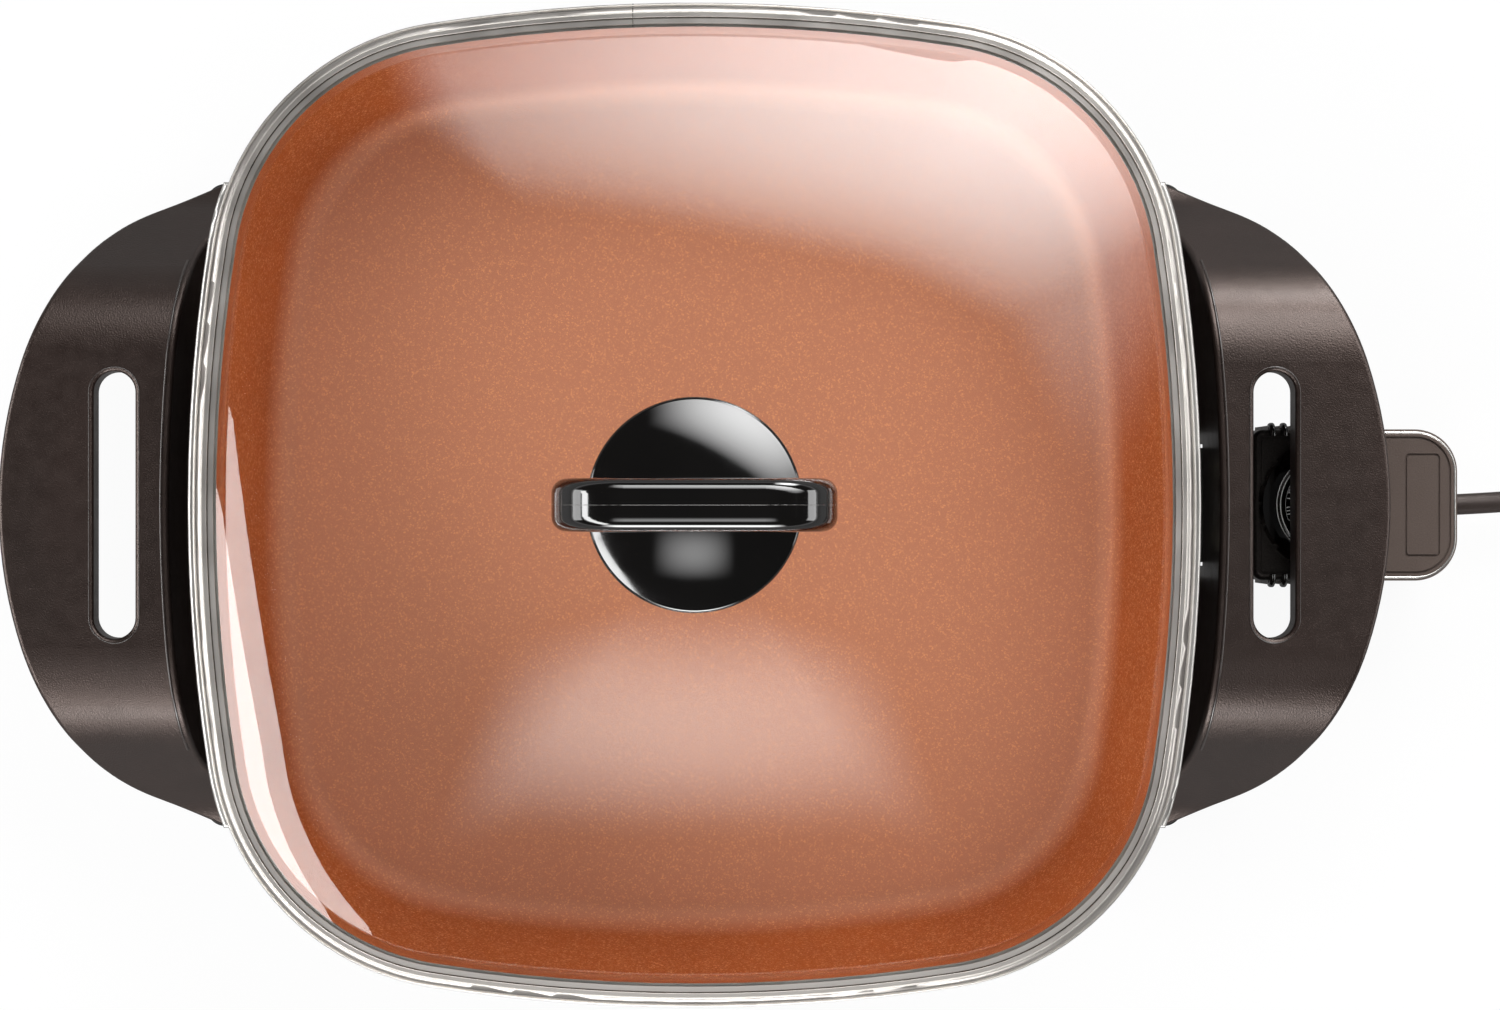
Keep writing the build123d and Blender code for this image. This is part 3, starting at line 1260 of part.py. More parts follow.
def make_plug_blades():
    place = plug_plane()
    start = PLUG_NECK_LENGTH + PLUG_LENGTH
    prongs = []
    for side in (-1, 1):
        face = place * Pos(side * BLADE_PITCH / 2, 0, start) * Rectangle(PRONG_THICKNESS, PRONG_WIDTH)
        prong = extrude(face, PRONG_LENGTH)
        tip = [edge for edge in prong.edges().group_by(Axis.Y)[0] if abs(edge.tangent_at(0).X) > SMALL_SHARE]
        prongs.append(fillet(tip, PRONG_ROUND))
    return prongs


def make_nodes():
    right = make_handle(True)
    return {
        "pan": make_pan(),
        "heater_plate": make_heater_plate(),
        "heating_element": tube(element_path(), ELEMENT_RADIUS),
        "terminal_pins": make_terminal_pins(),
        "terminal_insulators": make_terminal_insulators(),
        "terminal_guard": make_terminal_guard(),
        "guard_rivets": make_guard_rivets(),
        "right_handle": right,
        "left_handle": mirror(make_handle(False), Plane.YZ),
        "handle_screws": make_handle_screws(),
        "handle_washers": make_handle_washers(),
        "foot_pads": make_foot_pads(),
        "lid_rim": make_lid_rim(),
        "lid_glass": make_lid_glass(),
        "lid_handle": make_lid_handle(),
        "lid_outer_gasket": make_lid_outer_gasket(),
        "lid_inner_gasket": make_lid_inner_gasket(),
        "lid_screw_washer": make_lid_screw_washer(),
        "lid_handle_screw": make_lid_handle_screw(),
        "probe_top_cover": make_probe_top_cover(),
        "probe_bottom_cover": make_probe_bottom_cover(),
        "probe_cover_screws": make_probe_cover_screws(),
        "probe_nose": make_probe_nose(),
        "probe_rod": make_probe_rod(),
        "socket_contacts": make_socket_contacts(),
        "thermostat_frame": make_thermostat_frame(),
        "spindle_bush": make_spindle_bush(),
        "contact_block": make_contact_block(),
        "fixed_contact_blade": make_fixed_contact_blade(),
        "moving_contact_blade": make_moving_contact_blade(),
        "lead_wires": make_lead_wires(),
        "cord_inner_end": make_cord_inner_end(),
        "cord_bushing": make_cord_bushing(),
        "cord_clamp": make_cord_clamp(),
        "dial": make_dial(),
        "dial_spindle": make_dial_spindle(),
        "cord_run": route_tube("cord_run", cord_points()),
        "cord_coil": make_cord_coil(),
        "cord_tail": route_tube("cord_tail", tail_points()),
        "cord_tie": make_cord_tie(),
        "plug_body": make_plug_body(),
        "plug_blades": make_plug_blades(),
    }


def write_nodes():
    os.makedirs("parts", exist_ok=True)
    for name, shape in make_nodes().items():
        pieces = shape if isinstance(shape, list) else [shape]
        solids = [solid for piece in pieces for solid in piece.solids()]
        moved = [Pos(FRAME_SHIFT, 0, 0) * solid for solid in solids]
        export_step(moved[0] if len(moved) == 1 else Compound(children=moved), f"parts/{name}.step")
        print(name, len(moved))


write_nodes()
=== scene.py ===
"""Looks of the electric skillet: finishes, cord, dial marks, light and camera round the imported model."""

import json
import math

import bmesh
import bpy
from mathutils import Matrix, Vector


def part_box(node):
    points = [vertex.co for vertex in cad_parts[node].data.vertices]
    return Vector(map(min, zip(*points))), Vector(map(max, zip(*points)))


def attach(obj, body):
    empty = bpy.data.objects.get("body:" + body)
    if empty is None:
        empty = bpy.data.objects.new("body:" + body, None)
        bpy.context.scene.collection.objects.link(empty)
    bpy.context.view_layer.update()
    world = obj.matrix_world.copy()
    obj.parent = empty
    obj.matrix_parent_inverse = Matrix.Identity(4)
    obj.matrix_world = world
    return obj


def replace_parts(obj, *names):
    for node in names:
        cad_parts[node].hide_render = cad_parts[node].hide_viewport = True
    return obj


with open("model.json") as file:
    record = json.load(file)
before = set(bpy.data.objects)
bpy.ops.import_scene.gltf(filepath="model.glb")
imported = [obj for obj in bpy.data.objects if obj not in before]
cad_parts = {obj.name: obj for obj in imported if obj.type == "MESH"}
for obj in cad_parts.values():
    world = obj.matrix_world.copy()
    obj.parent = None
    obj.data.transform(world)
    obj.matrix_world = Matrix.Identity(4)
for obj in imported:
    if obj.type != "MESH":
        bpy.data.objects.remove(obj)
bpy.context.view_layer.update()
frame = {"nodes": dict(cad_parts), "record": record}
NODES = frame["nodes"]
DOWN = Vector((0.0, 0.0, -1.0))

# Lengths are in metres and angles in degrees

# Places from the frame
PAN_LOW, PAN_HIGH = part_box("pan")
DIAL_LOW, DIAL_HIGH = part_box("dial")
BAR_LOW, BAR_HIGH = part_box("lid_handle")
COVER_LOW, COVER_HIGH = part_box("probe_top_cover")
PAN_X = (PAN_LOW.x + PAN_HIGH.x) / 2
RIM_Z = PAN_HIGH.z
DIAL_CENTRE = ((DIAL_LOW.x + DIAL_HIGH.x) / 2, 0.0)

# Pan: its floor and rim, and how far a face looks outwards to count as rim or as outside
PAN_FLOOR_Z = 0.0295
RIM_THICKNESS = 0.00342
RIM_FACING = -0.3
OUTSIDE_FACING = 0.1

# Outlines in plan: the pan's mouth, and the handles' slots
MOUTH_HALF = 0.1525
SIDE_BOW_RADIUS = 0.537
CORNER_RADIUS = 0.076
CORNER_POINTS = 24
SIDE_POINTS = 48
HANDLE_GAP = 0.0165
SLOT_SETBACK = 0.0176
SLOT_HALF_LENGTH = 0.043
SLOT_HALF_WIDTH = 0.0067

# Lid glass, with the dome's sections as in the part's source
GLASS_EDGE_INSET = -0.0032
GLASS_BORDER = 0.0048
GLASS_SEAT = 0.0034
GLASS_SEAT_HEIGHT = 0.0008
GLASS_THICKNESS = 0.004
GLASS_HOLE_RADIUS = 0.004
GLASS_EDGE_ANGLE = 15.0
DOME_RISE = 0.030
DOME_POWER = 2.2
DOME_TOP_SHARE = 0.17
DOME_STEPS = 48

# Marks on the dial: two rings of painted highlight, each with its radius and drop, a framed word, and numbers
# at their angles
DISH_DEPTH = 0.0008
DIAL_LINE_WIDTH = 0.00032
HIGHLIGHT_RINGS = ((0.0161, 0.0), (0.0172, 0.00053))
RING_POINTS = 72
MARK_RADIUS = 0.01315
MARK_HEIGHT = 0.0018
MARK_RELIEF = 0.00016
WORD_LETTERS = (("w", 145), ("a", 161), ("r", 173), ("m", 188))
SCALE_NUMBERS = (("200", 95), ("250", 50), ("300", 5), ("350", -40), ("400", -85))
DIGIT_STEP = 9.5
FRAME_INNER = 0.0118
FRAME_OUTER = 0.0144
FRAME_ANGLES = (137, 197)
LETTER_EXTRUDE = 0.01

# Lines round the lid's band, each with its inset, height over the rim and width: dark ones that paint shade
# in its grooves, bright ones that paint highlights on its edges; and the joint across it
RIM_SHADE_LINES = ((-0.00445, 0.0012, 0.0005), (-0.0007, 0.0058, 0.0005))
RIM_HIGHLIGHT_LINES = ((-0.0053, 0.0017, 0.0006), (-0.0024, 0.0062, 0.0005))
SEAM_X = -0.0194
SEAM_STEP = 0.0004
SEAM_STEPS = 60
SEAM_START_HEIGHT = 0.01
SEAM_WIDTH = 0.0004

# Lines on the handles and on the lid handle's bar, in lighter plastic that paints the highlights along the
# edges they follow
BEAD_INSET = 0.0026
BEAD_HALF_LENGTH = 0.080
BEAD_STEP = 0.002
BEAD_WIDTH = 0.0009
LIP_OFFSET = 0.0014
LIP_WIDTH = 0.0004
LIP_POINTS = 24
BAR_SHOULDER = 0.022
PARTING_SINK = 0.00009
PARTING_WIDTH = 0.00028

# Control: its cover, the painted highlight along its edge, its grip ribs (section as reach and drop) and the
# painted shade on its top
COVER_SIDE_Y = 0.025
COVER_BACK_CORNER = 0.014
TRIM_FRONT_X = 0.200
TRIM_INSET = 0.0011
TRIM_DROP = 0.00035
TRIM_WIDTH = 0.0008
RIB_START_X = 0.0068
RIB_PITCH = 0.004
RIB_COUNT = 9
RIB_WIDTH = 0.0021
RIB_SECTION = ((0.0262, 0.005), (0.0262, 0.0025), (0.0255, 0.0008), (0.0246, 0.0001), (0.0228, 0.0))
# Where the painted shade on the cover's top stops: towards the back, with its fade, and down the sides
SHADE_BACK_X = 0.197
SHADE_BACK_FADE = 0.004
SHADE_SIDE_DROPS = (0.003, 0.002)

# Cord, with the route's points as in the part's source
CORD_DIAMETER = 0.007
CORD_EXIT = Vector((0.238, 0.0, 0.021))
RUN_STEPS = ((0.0, 0.0, 0.0), (0.023, 0.001, 0.0), (0.065, 0.005, -0.016), (0.095, 0.005, -0.016))
COIL_MIN_RADIUS = 0.030
COIL_PITCH = 0.009
COIL_LAYER_STEP = 0.0076
COIL_LAYER_TURNS = 1.375
COIL_CLIMB_TURNS = 0.5
COIL_TURNS = 2 * COIL_LAYER_TURNS + COIL_CLIMB_TURNS
COIL_POINTS_PER_TURN = 16
TAIL_STEPS = ((0.0, -0.017, 0.0), (0.0005, -0.035, -0.0026), (0.0005, -0.051, -0.0026))

# Fineness of the curves
ARC_POINTS = 12
CORD_STEPS_PER_POINT = 8
CORD_ROUNDNESS = 6
LINE_ROUNDNESS = 3

# Surface detail shared by the finishes: sizes and depths, and how far roughness wanders from its mean
EVEN = (1.0, 1.0, 1.0)
PLASTIC_IOR = 1.5
PLASTIC_FLOW_SIZE = 0.030
PLASTIC_FLOW_STRETCH = (1.0, 0.4, 1.0)
PLASTIC_GLOSS_SIZE = 0.006
PLASTIC_GLOSS_WANDER = (-0.03, 0.04)
PLASTIC_COAT_ROUGHNESS = 0.16
POLISH_IOR = 1.95
POLISH_TONE_SIZE = 0.020
POLISH_SMEAR_SIZE = 0.012
POLISH_SMEAR_WANDER = (0.0, 0.04)
POLISH_PEEL_SIZE = 0.004
POLISH_PEEL_DEPTH = 0.000004
METAL_STREAK_SIZE = 0.0012
METAL_GLOSS_WANDER = (-0.04, 0.05)
SMOOTH_METAL_SIZE = 0.02
SMOOTH_METAL_DEPTH = 0.0000002

# Copper-coloured coating
COPPER_BASE = (0.319, 0.073, 0.004)
COPPER_WALL_DARK = (0.330, 0.0665, 0.0030)
COPPER_WALL_LIGHT = (0.390, 0.0815, 0.0045)
COPPER_FLOOR = (0.455, 0.172, 0.092)
COPPER_GLINT = (0.63, 0.252, 0.106)
COPPER_METALLIC = 0.3
COPPER_ROUGHNESS = 0.54
COPPER_ROUGHNESS_LOW = 0.48
COPPER_ROUGHNESS_HIGH = 0.60
COPPER_CLOUD_SIZE = 0.05
COPPER_FLOOR_FADE = 0.012
FLAKES_PER_METRE = 2200.0
FLAKE_GLINT_START = 0.75
FLAKE_DEPTH = 0.00003
FLAKE_STRENGTH = 0.35

# Painted shade: sandy black on top of the control, where the handle shades it
SHADE_SANDY_DARK = (0.004, 0.0034, 0.0031)
SHADE_SANDY_LIGHT = (0.022, 0.019, 0.018)
SANDY_GRAIN = 0.0006

# Clear glass
GLASS_TINT = (0.97, 0.985, 0.975)
GLASS_SHADOW_TINT = (0.93, 0.945, 0.94)
GLASS_IOR = 1.62
GLASS_RIPPLE_SIZE = 0.06
GLASS_RIPPLE_DEPTH = 0.00001

# Stage: the floor's size and white, the share of it that glows, and its level in reflections
FLOOR_HALF = 6.0
FLOOR_DROP = 0.0003
FLOOR_WHITE = 0.93
FLOOR_GLOW_SHARE = 0.92
FLOOR_MIRRORED_LEVEL = 0.22

# Light: a lamp's power for its radiance and area, its soft edges, and the world from horizon to zenith
LAMP_WATTS = 4.0
LAMP_EDGE_POWER = 1.5
LAMP_FALL_POWER = 2.0
WORLD_LEVELS = ((0.0, 0.60), (0.02, 0.60), (0.14, 0.05), (0.90, 0.05), (1.0, 0.06))

# Lamps round the lid: azimuth, elevation, distance, size and radiance, kind of soft edge, and turn
LAMPS = {
    "softbox_left": (200.0, 31.4, 1.53, (2.30, 0.30), 6.4, "", 12.7),
    "softbox_back": (60.0, 47.0, 1.50, (2.80, 0.75), 5.9, "upwards", 0.0),
    "softbox_over": (269.0, 65.0, 1.30, (1.00, 0.70), 1.7, "round", 0.0),
    "strip_left": (180.0, 13.0, 1.30, (0.90, 0.36), 2.4, "", 0.0),
    "strip_right": (358.0, 13.0, 1.30, (0.90, 0.36), 2.4, "", 0.0),
    "strip_front": (269.0, 17.0, 1.40, (1.30, 0.60), 10.0, "round", 0.0),
    "strip_back": (63.7, 13.0, 1.03, (0.60, 0.40), 12.5, "round", 26.3),
}

# Camera, straight above the pan
PHOTO_WIDTH = 1500
PHOTO_PAN_X = 694.5
RIM_METRES_PER_PIXEL = 0.0003157
CAMERA_HEIGHT = 1.2
SENSOR = 36.0


# Material helpers


def new_material(name, colour, roughness, metallic=0.0):
    """Material with one Principled shader, whose even values sit on its own sockets."""
    material = bpy.data.materials.new(name)
    material.use_nodes = True
    shader = shader_of(material)
    shader.inputs["Base Color"].default_value = solid(colour)
    shader.inputs["Roughness"].default_value = roughness
    shader.inputs["Metallic"].default_value = metallic
    return material


def shader_of(material):
    return material.node_tree.nodes["Principled BSDF"]


def solid(colour):
    return (*colour, 1.0)


def grey(level):
    return (level, level, level, 1.0)


def add_node(owner, kind, **inputs):
    """New node of a material, lamp or world, with the named input values set."""
    node = owner.node_tree.nodes.new(kind)
    for name, value in inputs.items():
        node.inputs[name.replace("_", " ")].default_value = value
    return node


def join(owner, source, target):
    owner.node_tree.links.new(source, target)


def frame_coordinates(material, stretch=EVEN):
    """Place on the piece in metres, stretched along an axis for streaks."""
    place = add_node(material, "ShaderNodeTexCoord")
    mapping = add_node(material, "ShaderNodeMapping", Scale=stretch)
    join(material, place.outputs["Object"], mapping.inputs["Vector"])
    return mapping.outputs["Vector"]


def axes_of(owner, source):
    """Outputs X, Y and Z of a vector."""
    parts = add_node(owner, "ShaderNodeSeparateXYZ")
    join(owner, source, parts.inputs["Vector"])
    return parts.outputs


def noise(material, size, detail=3.0, stretch=EVEN):
    """Noise with features of about the given size in metres."""
    node = add_node(material, "ShaderNodeTexNoise", Scale=1.0 / size, Detail=detail)
    join(material, frame_coordinates(material, stretch), node.inputs["Vector"])
    return node.outputs["Fac"]


def spread(material, source, low, high, start=0.3, end=0.7):
    """Source values from start to end, mapped to the range from low to high."""
    node = add_node(
        material, "ShaderNodeMapRange", From_Min=start, From_Max=end, To_Min=low, To_Max=high
    )
    join(material, source, node.inputs["Value"])
    return node.outputs["Result"]


def maths(owner, operation, first, second):
    """Result of one sum on two values, each a number or another node's output."""
    node = add_node(owner, "ShaderNodeMath")
    node.operation = operation
    for socket, value in zip(node.inputs, (first, second)):
        if isinstance(value, float):
            socket.default_value = value
        else:
            join(owner, value, socket)
    return node.outputs["Value"]


def mixed(material, factor, first, second):
    """Colour between two colours by a factor, each colour a value or another node's output."""
    node = add_node(material, "ShaderNodeMix")
    node.data_type = "RGBA"
    join(material, factor, node.inputs[0])
    for socket, colour in zip(node.inputs[6:8], (first, second)):
        if isinstance(colour, tuple):
            socket.default_value = colour
        else:
            join(material, colour, socket)
    return node.outputs[2]


def two_tone(material, source, dark, light):
    """Colour from dark to light by a source value."""
    return mixed(material, spread(material, source, 0.0, 1.0), solid(dark), solid(light))


def mixed_shaders(owner, factor, first, second):
    """Shader between two shaders by a factor."""
    node = add_node(owner, "ShaderNodeMixShader")
    for socket, source in zip(node.inputs, (factor, first, second)):
        join(owner, source, socket)
    return node.outputs["Shader"]


def coloured(material, colour):
    join(material, colour, shader_of(material).inputs["Base Color"])


def uneven_gloss(material, source, roughness, wander):
    """Roughness that wanders from its mean by a source value."""
    low, high = (roughness + step for step in wander)
    join(material, spread(material, source, low, high), shader_of(material).inputs["Roughness"])


def bumped(material, height, depth, strength=1.0):
    """Relief of the given depth on the material's shader."""
    node = add_node(material, "ShaderNodeBump", Strength=strength, Distance=depth)
    join(material, height, node.inputs["Height"])
    join(material, node.outputs["Normal"], shader_of(material).inputs["Normal"])


# Kinds of finish


def moulded_plastic(name, dark, light, roughness, grain, relief, tint=EVEN, coat=0.0, ior=PLASTIC_IOR):
    """Plastic with fine moulded grain, faint flow marks and uneven gloss, and a thin clear skin if asked."""
    material = new_material(name, dark, roughness)
    shader = shader_of(material)
    shader.inputs["Specular Tint"].default_value = solid(tint)
    shader.inputs["IOR"].default_value = ior
    shader.inputs["Coat Weight"].default_value = coat
    shader.inputs["Coat Roughness"].default_value = PLASTIC_COAT_ROUGHNESS
    flow = noise(material, PLASTIC_FLOW_SIZE, stretch=PLASTIC_FLOW_STRETCH)
    both = maths(material, "ADD", flow, noise(material, grain, detail=1.0))
    coloured(material, two_tone(material, maths(material, "MULTIPLY", both, 0.5), dark, light))
    uneven_gloss(material, noise(material, PLASTIC_GLOSS_SIZE), roughness, PLASTIC_GLOSS_WANDER)
    bumped(material, noise(material, grain, detail=2.0), relief)
    return material


def polished_plastic(name, dark, light, roughness):
    """Gloss plastic with a faint orange peel."""
    material = new_material(name, dark, roughness)
    shader_of(material).inputs["IOR"].default_value = POLISH_IOR
    coloured(material, two_tone(material, noise(material, POLISH_TONE_SIZE), dark, light))
    uneven_gloss(material, noise(material, POLISH_SMEAR_SIZE), roughness, POLISH_SMEAR_WANDER)
    bumped(material, noise(material, POLISH_PEEL_SIZE), POLISH_PEEL_DEPTH)
    return material


def metal(name, dark, light, roughness, relief, streak=EVEN, grain=METAL_STREAK_SIZE):
    """Metal with fine streaks in its tone, gloss and surface."""
    material = new_material(name, dark, roughness, metallic=1.0)
    streaks = noise(material, grain, stretch=streak)
    coloured(material, two_tone(material, streaks, dark, light))
    uneven_gloss(material, streaks, roughness, METAL_GLOSS_WANDER)
    bumped(material, streaks, relief)
    return material


def smooth_metal(name, dark, light, roughness):
    """Metal with no streaks to see, only slow changes of tone and gloss."""
    return metal(name, dark, light, roughness, SMOOTH_METAL_DEPTH, grain=SMOOTH_METAL_SIZE)


def shade_cover_top(material):
    """Painted shade: sandy black on top of the control round its dial, where the handle shades it, with the
    material's brown left elsewhere.
    """
    brown = shader_of(material).inputs["Base Color"].links[0].from_socket
    black = two_tone(material, noise(material, SANDY_GRAIN, detail=1.0), SHADE_SANDY_DARK, SHADE_SANDY_LIGHT)
    place = axes_of(material, frame_coordinates(material))
    back = spread(material, place["X"], 0.0, 1.0, SHADE_BACK_X, SHADE_BACK_X + SHADE_BACK_FADE)
    low, high = (COVER_HIGH.z - drop for drop in SHADE_SIDE_DROPS)
    side = spread(material, place["Z"], 1.0, 0.0, low, high)
    coloured(material, mixed(material, maths(material, "MAXIMUM", back, side), black, brown))


def copper_coating():
    """Copper-coloured ceramic coating with fine flakes, paler on the pan's floor than on its wall."""
    material = new_material("copper_coating", COPPER_BASE, COPPER_ROUGHNESS, COPPER_METALLIC)
    flakes = add_node(material, "ShaderNodeTexVoronoi", Scale=FLAKES_PER_METRE)
    join(material, frame_coordinates(material), flakes.inputs["Vector"])
    parts = add_node(material, "ShaderNodeSeparateColor")
    join(material, flakes.outputs["Color"], parts.inputs["Color"])
    wall = two_tone(material, noise(material, COPPER_CLOUD_SIZE), COPPER_WALL_DARK, COPPER_WALL_LIGHT)
    height = axes_of(material, frame_coordinates(material))["Z"]
    up_wall = spread(material, height, 0.0, 1.0, PAN_FLOOR_Z, PAN_FLOOR_Z + COPPER_FLOOR_FADE)
    coat = mixed(material, up_wall, solid(COPPER_FLOOR), wall)
    glint = spread(material, parts.outputs["Red"], 0.0, 1.0, FLAKE_GLINT_START, 1.0)
    coloured(material, mixed(material, glint, coat, solid(COPPER_GLINT)))
    gloss = spread(material, parts.outputs["Green"], COPPER_ROUGHNESS_LOW, COPPER_ROUGHNESS_HIGH, 0.0, 1.0)
    join(material, gloss, shader_of(material).inputs["Roughness"])
    bumped(material, parts.outputs["Blue"], FLAKE_DEPTH, FLAKE_STRENGTH)
    return material


def clear_glass():
    """Clear glass that lets the lamps through to what it covers."""
    material = new_material("lid_glass", GLASS_TINT, 0.0)
    shader = shader_of(material)
    shader.inputs["Transmission Weight"].default_value = 1.0
    shader.inputs["IOR"].default_value = GLASS_IOR
    bumped(material, noise(material, GLASS_RIPPLE_SIZE), GLASS_RIPPLE_DEPTH)
    clear = add_node(material, "ShaderNodeBsdfTransparent", Color=solid(GLASS_SHADOW_TINT))
    shadow = add_node(material, "ShaderNodeLightPath").outputs["Is Shadow Ray"]
    mix = mixed_shaders(material, shadow, shader.outputs["BSDF"], clear.outputs["BSDF"])
    join(material, mix, material.node_tree.nodes["Material Output"].inputs["Surface"])
    return material


METALS = {
    "cast_aluminium": dict(dark=(0.50, 0.50, 0.49), light=(0.62, 0.62, 0.61), roughness=0.45, relief=0.00006),
    "element_steel": dict(dark=(0.20, 0.19, 0.18), light=(0.30, 0.28, 0.26), roughness=0.40, relief=0.00002),
    "plated_brass": dict(
        dark=(0.62, 0.58, 0.46),
        light=(0.74, 0.70, 0.57),
        roughness=0.22,
        relief=0.00001,
        streak=(1.0, 6.0, 6.0),
    ),
    # Painted shade: the guard's sheet steel is darkened to near black so that the gap beside the pan reads as
    # shaded
    "sheet_steel": dict(
        dark=(0.030, 0.028, 0.027),
        light=(0.046, 0.043, 0.041),
        roughness=0.42,
        relief=0.00001,
        streak=(1.0, 8.0, 8.0),
    ),
    "screw_steel": dict(dark=(0.50, 0.50, 0.49), light=(0.62, 0.62, 0.61), roughness=0.28, relief=0.00001),
    "rim_seam": dict(dark=(0.16, 0.15, 0.14), light=(0.24, 0.23, 0.21), roughness=0.40, relief=0.000002),
    # Painted highlight along the rounded edge of the control's top cover
    "probe_edge_highlight": dict(
        dark=(0.70, 0.68, 0.65), light=(0.80, 0.78, 0.75), roughness=0.28, relief=0.000002, grain=0.01
    ),
}
SMOOTH_METALS = {
    "rim_steel": dict(dark=(0.64, 0.60, 0.565), light=(0.70, 0.66, 0.625), roughness=0.40),
    # Painted shade for the band's grooves and painted highlights for its edges
    "rim_groove_shade": dict(dark=(0.085, 0.072, 0.060), light=(0.110, 0.095, 0.080), roughness=0.45),
    "rim_edge_highlight": dict(dark=(0.86, 0.83, 0.78), light=(0.92, 0.89, 0.84), roughness=0.44),
    "bare_aluminium": dict(dark=(0.66, 0.64, 0.61), light=(0.73, 0.71, 0.68), roughness=0.36),
}
MOULDED_PLASTICS = {
    "ceramic": dict(
        dark=(0.80, 0.77, 0.70), light=(0.86, 0.84, 0.78), roughness=0.60, grain=0.0005, relief=0.00003
    ),
    "handle_plastic": dict(
        dark=(0.0030, 0.0016, 0.0013),
        light=(0.0150, 0.0082, 0.0068),
        roughness=0.36,
        grain=0.0005,
        relief=0.00012,
        tint=(1.0, 0.79, 0.71),
        coat=0.12,
        ior=1.75,
    ),
    "foot_rubber": dict(
        dark=(0.016, 0.016, 0.016), light=(0.024, 0.024, 0.024), roughness=0.65, grain=0.0006, relief=0.00004
    ),
    "silicone": dict(
        dark=(0.030, 0.030, 0.030), light=(0.040, 0.040, 0.040), roughness=0.50, grain=0.0008, relief=0.00003
    ),
    "probe_plastic": dict(
        dark=(0.088, 0.066, 0.057),
        light=(0.121, 0.093, 0.080),
        roughness=0.34,
        grain=0.0005,
        relief=0.00005,
        tint=(1.0, 0.88, 0.82),
    ),
    "nose_plastic": dict(
        dark=(0.024, 0.021, 0.020), light=(0.030, 0.027, 0.025), roughness=0.45, grain=0.0006, relief=0.00004
    ),
    "cord_jacket": dict(
        dark=(0.028, 0.020, 0.018),
        light=(0.036, 0.027, 0.024),
        roughness=0.45,
        grain=0.0007,
        relief=0.00004,
        tint=(1.0, 0.88, 0.84),
    ),
    "dark_enamel": dict(
        dark=(0.012, 0.011, 0.011), light=(0.018, 0.016, 0.015), roughness=0.32, grain=0.0006, relief=0.00001
    ),
    # Pale print on the dial, also used for the rings of painted highlight round its edge
    "dial_print_and_highlights": dict(
        dark=(0.76, 0.755, 0.74), light=(0.86, 0.855, 0.84), roughness=0.40, grain=0.0004, relief=0.00001
    ),
}
POLISHED_PLASTICS = {
    "gloss_black": dict(dark=(0.0012, 0.0009, 0.0008), light=(0.0022, 0.0017, 0.0014), roughness=0.06),
    # Lighter grey for the bar's moulding line, painting the highlight it catches
    "parting_line_highlight": dict(dark=(0.05, 0.045, 0.042), light=(0.08, 0.072, 0.066), roughness=0.22),
    "rib_gloss": dict(dark=(0.010, 0.0085, 0.0080), light=(0.016, 0.014, 0.013), roughness=0.16),
    # Lighter glossy plastic that paints highlights along the handles' rounded edges
    "handle_highlight_bead": dict(dark=(0.026, 0.017, 0.014), light=(0.040, 0.028, 0.024), roughness=0.26),
}


def make_finishes():
    """Every finish by name: the record's material slots, and the few that only the scene uses."""
    kinds = (
        (metal, METALS),
        (smooth_metal, SMOOTH_METALS),
        (moulded_plastic, MOULDED_PLASTICS),
        (polished_plastic, POLISHED_PLASTICS),
    )
    finishes = {"pan_coating": copper_coating(), "lid_glass": clear_glass()}
    for kind, table in kinds:
        for name, values in table.items():
            finishes[name] = kind(name, **values)
    # Painted shade on the control's top, under the handle
    shade_cover_top(finishes["probe_plastic"])
    return finishes


FINISHES = make_finishes()


def finish_nodes():
    for part in frame["record"]["subparts"]:
        mesh = NODES[part["node"]].data
        mesh.materials.clear()
        mesh.materials.append(FINISHES[part["material_slot"]])
    finish_pan(NODES["pan"].data)


def finish_pan(mesh):
    """Bare rim and dark outside on the pan, with the coating left on its inside."""
    rim, outside = 1, 2
    mesh.materials.append(FINISHES["bare_aluminium"])
    mesh.materials.append(FINISHES["dark_enamel"])
    for face in mesh.polygons:
        outwards = Vector((face.center.x - PAN_X, face.center.y)).normalized()
        facing = outwards.dot(face.normal.xy)
        on_rim = face.center.z > RIM_Z - RIM_THICKNESS
        if on_rim and facing > RIM_FACING:
            face.material_index = rim
        elif face.center.z < PAN_FLOOR_Z or facing > OUTSIDE_FACING:
            face.material_index = outside


# Pieces


def add_object(name, data):
    thing = bpy.data.objects.new(name, data)
    bpy.context.scene.collection.objects.link(thing)
    return thing


def add_piece(name, data, body):
    """Object that rides on a body."""
    piece = add_object(name, data)
    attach(piece, body)
    return piece


def round_curve(name, width, roundness, finish):
    """Empty curve with a round section."""
    curve = bpy.data.curves.new(name, "CURVE")
    curve.dimensions = "3D"
    curve.bevel_depth = width / 2
    curve.bevel_resolution = roundness
    curve.materials.append(FINISHES[finish])
    return curve


def add_spline(curve, kind, points):
    spline = curve.splines.new(kind)
    spline.points.add(len(points) - 1)
    for target, point in zip(spline.points, points):
        target.co = (*point, 1.0)
    return spline


def line_piece(name, paths, width, finish, body, slot, closed=True):
    """Thin raised lines along paths of points, as one piece."""
    curve = round_curve(name, width, LINE_ROUNDNESS, finish)
    for path in paths:
        add_spline(curve, "POLY", path).use_cyclic_u = closed
    add_piece(name, curve, body)


def arc_points(centre, radius, start, end, count=ARC_POINTS):
    """Points in plan along an arc between two angles."""
    angles = [math.radians(start + (end - start) * index / count) for index in range(count + 1)]
    x, y = centre
    return [(x + radius * math.cos(angle), y + radius * math.sin(angle)) for angle in angles]


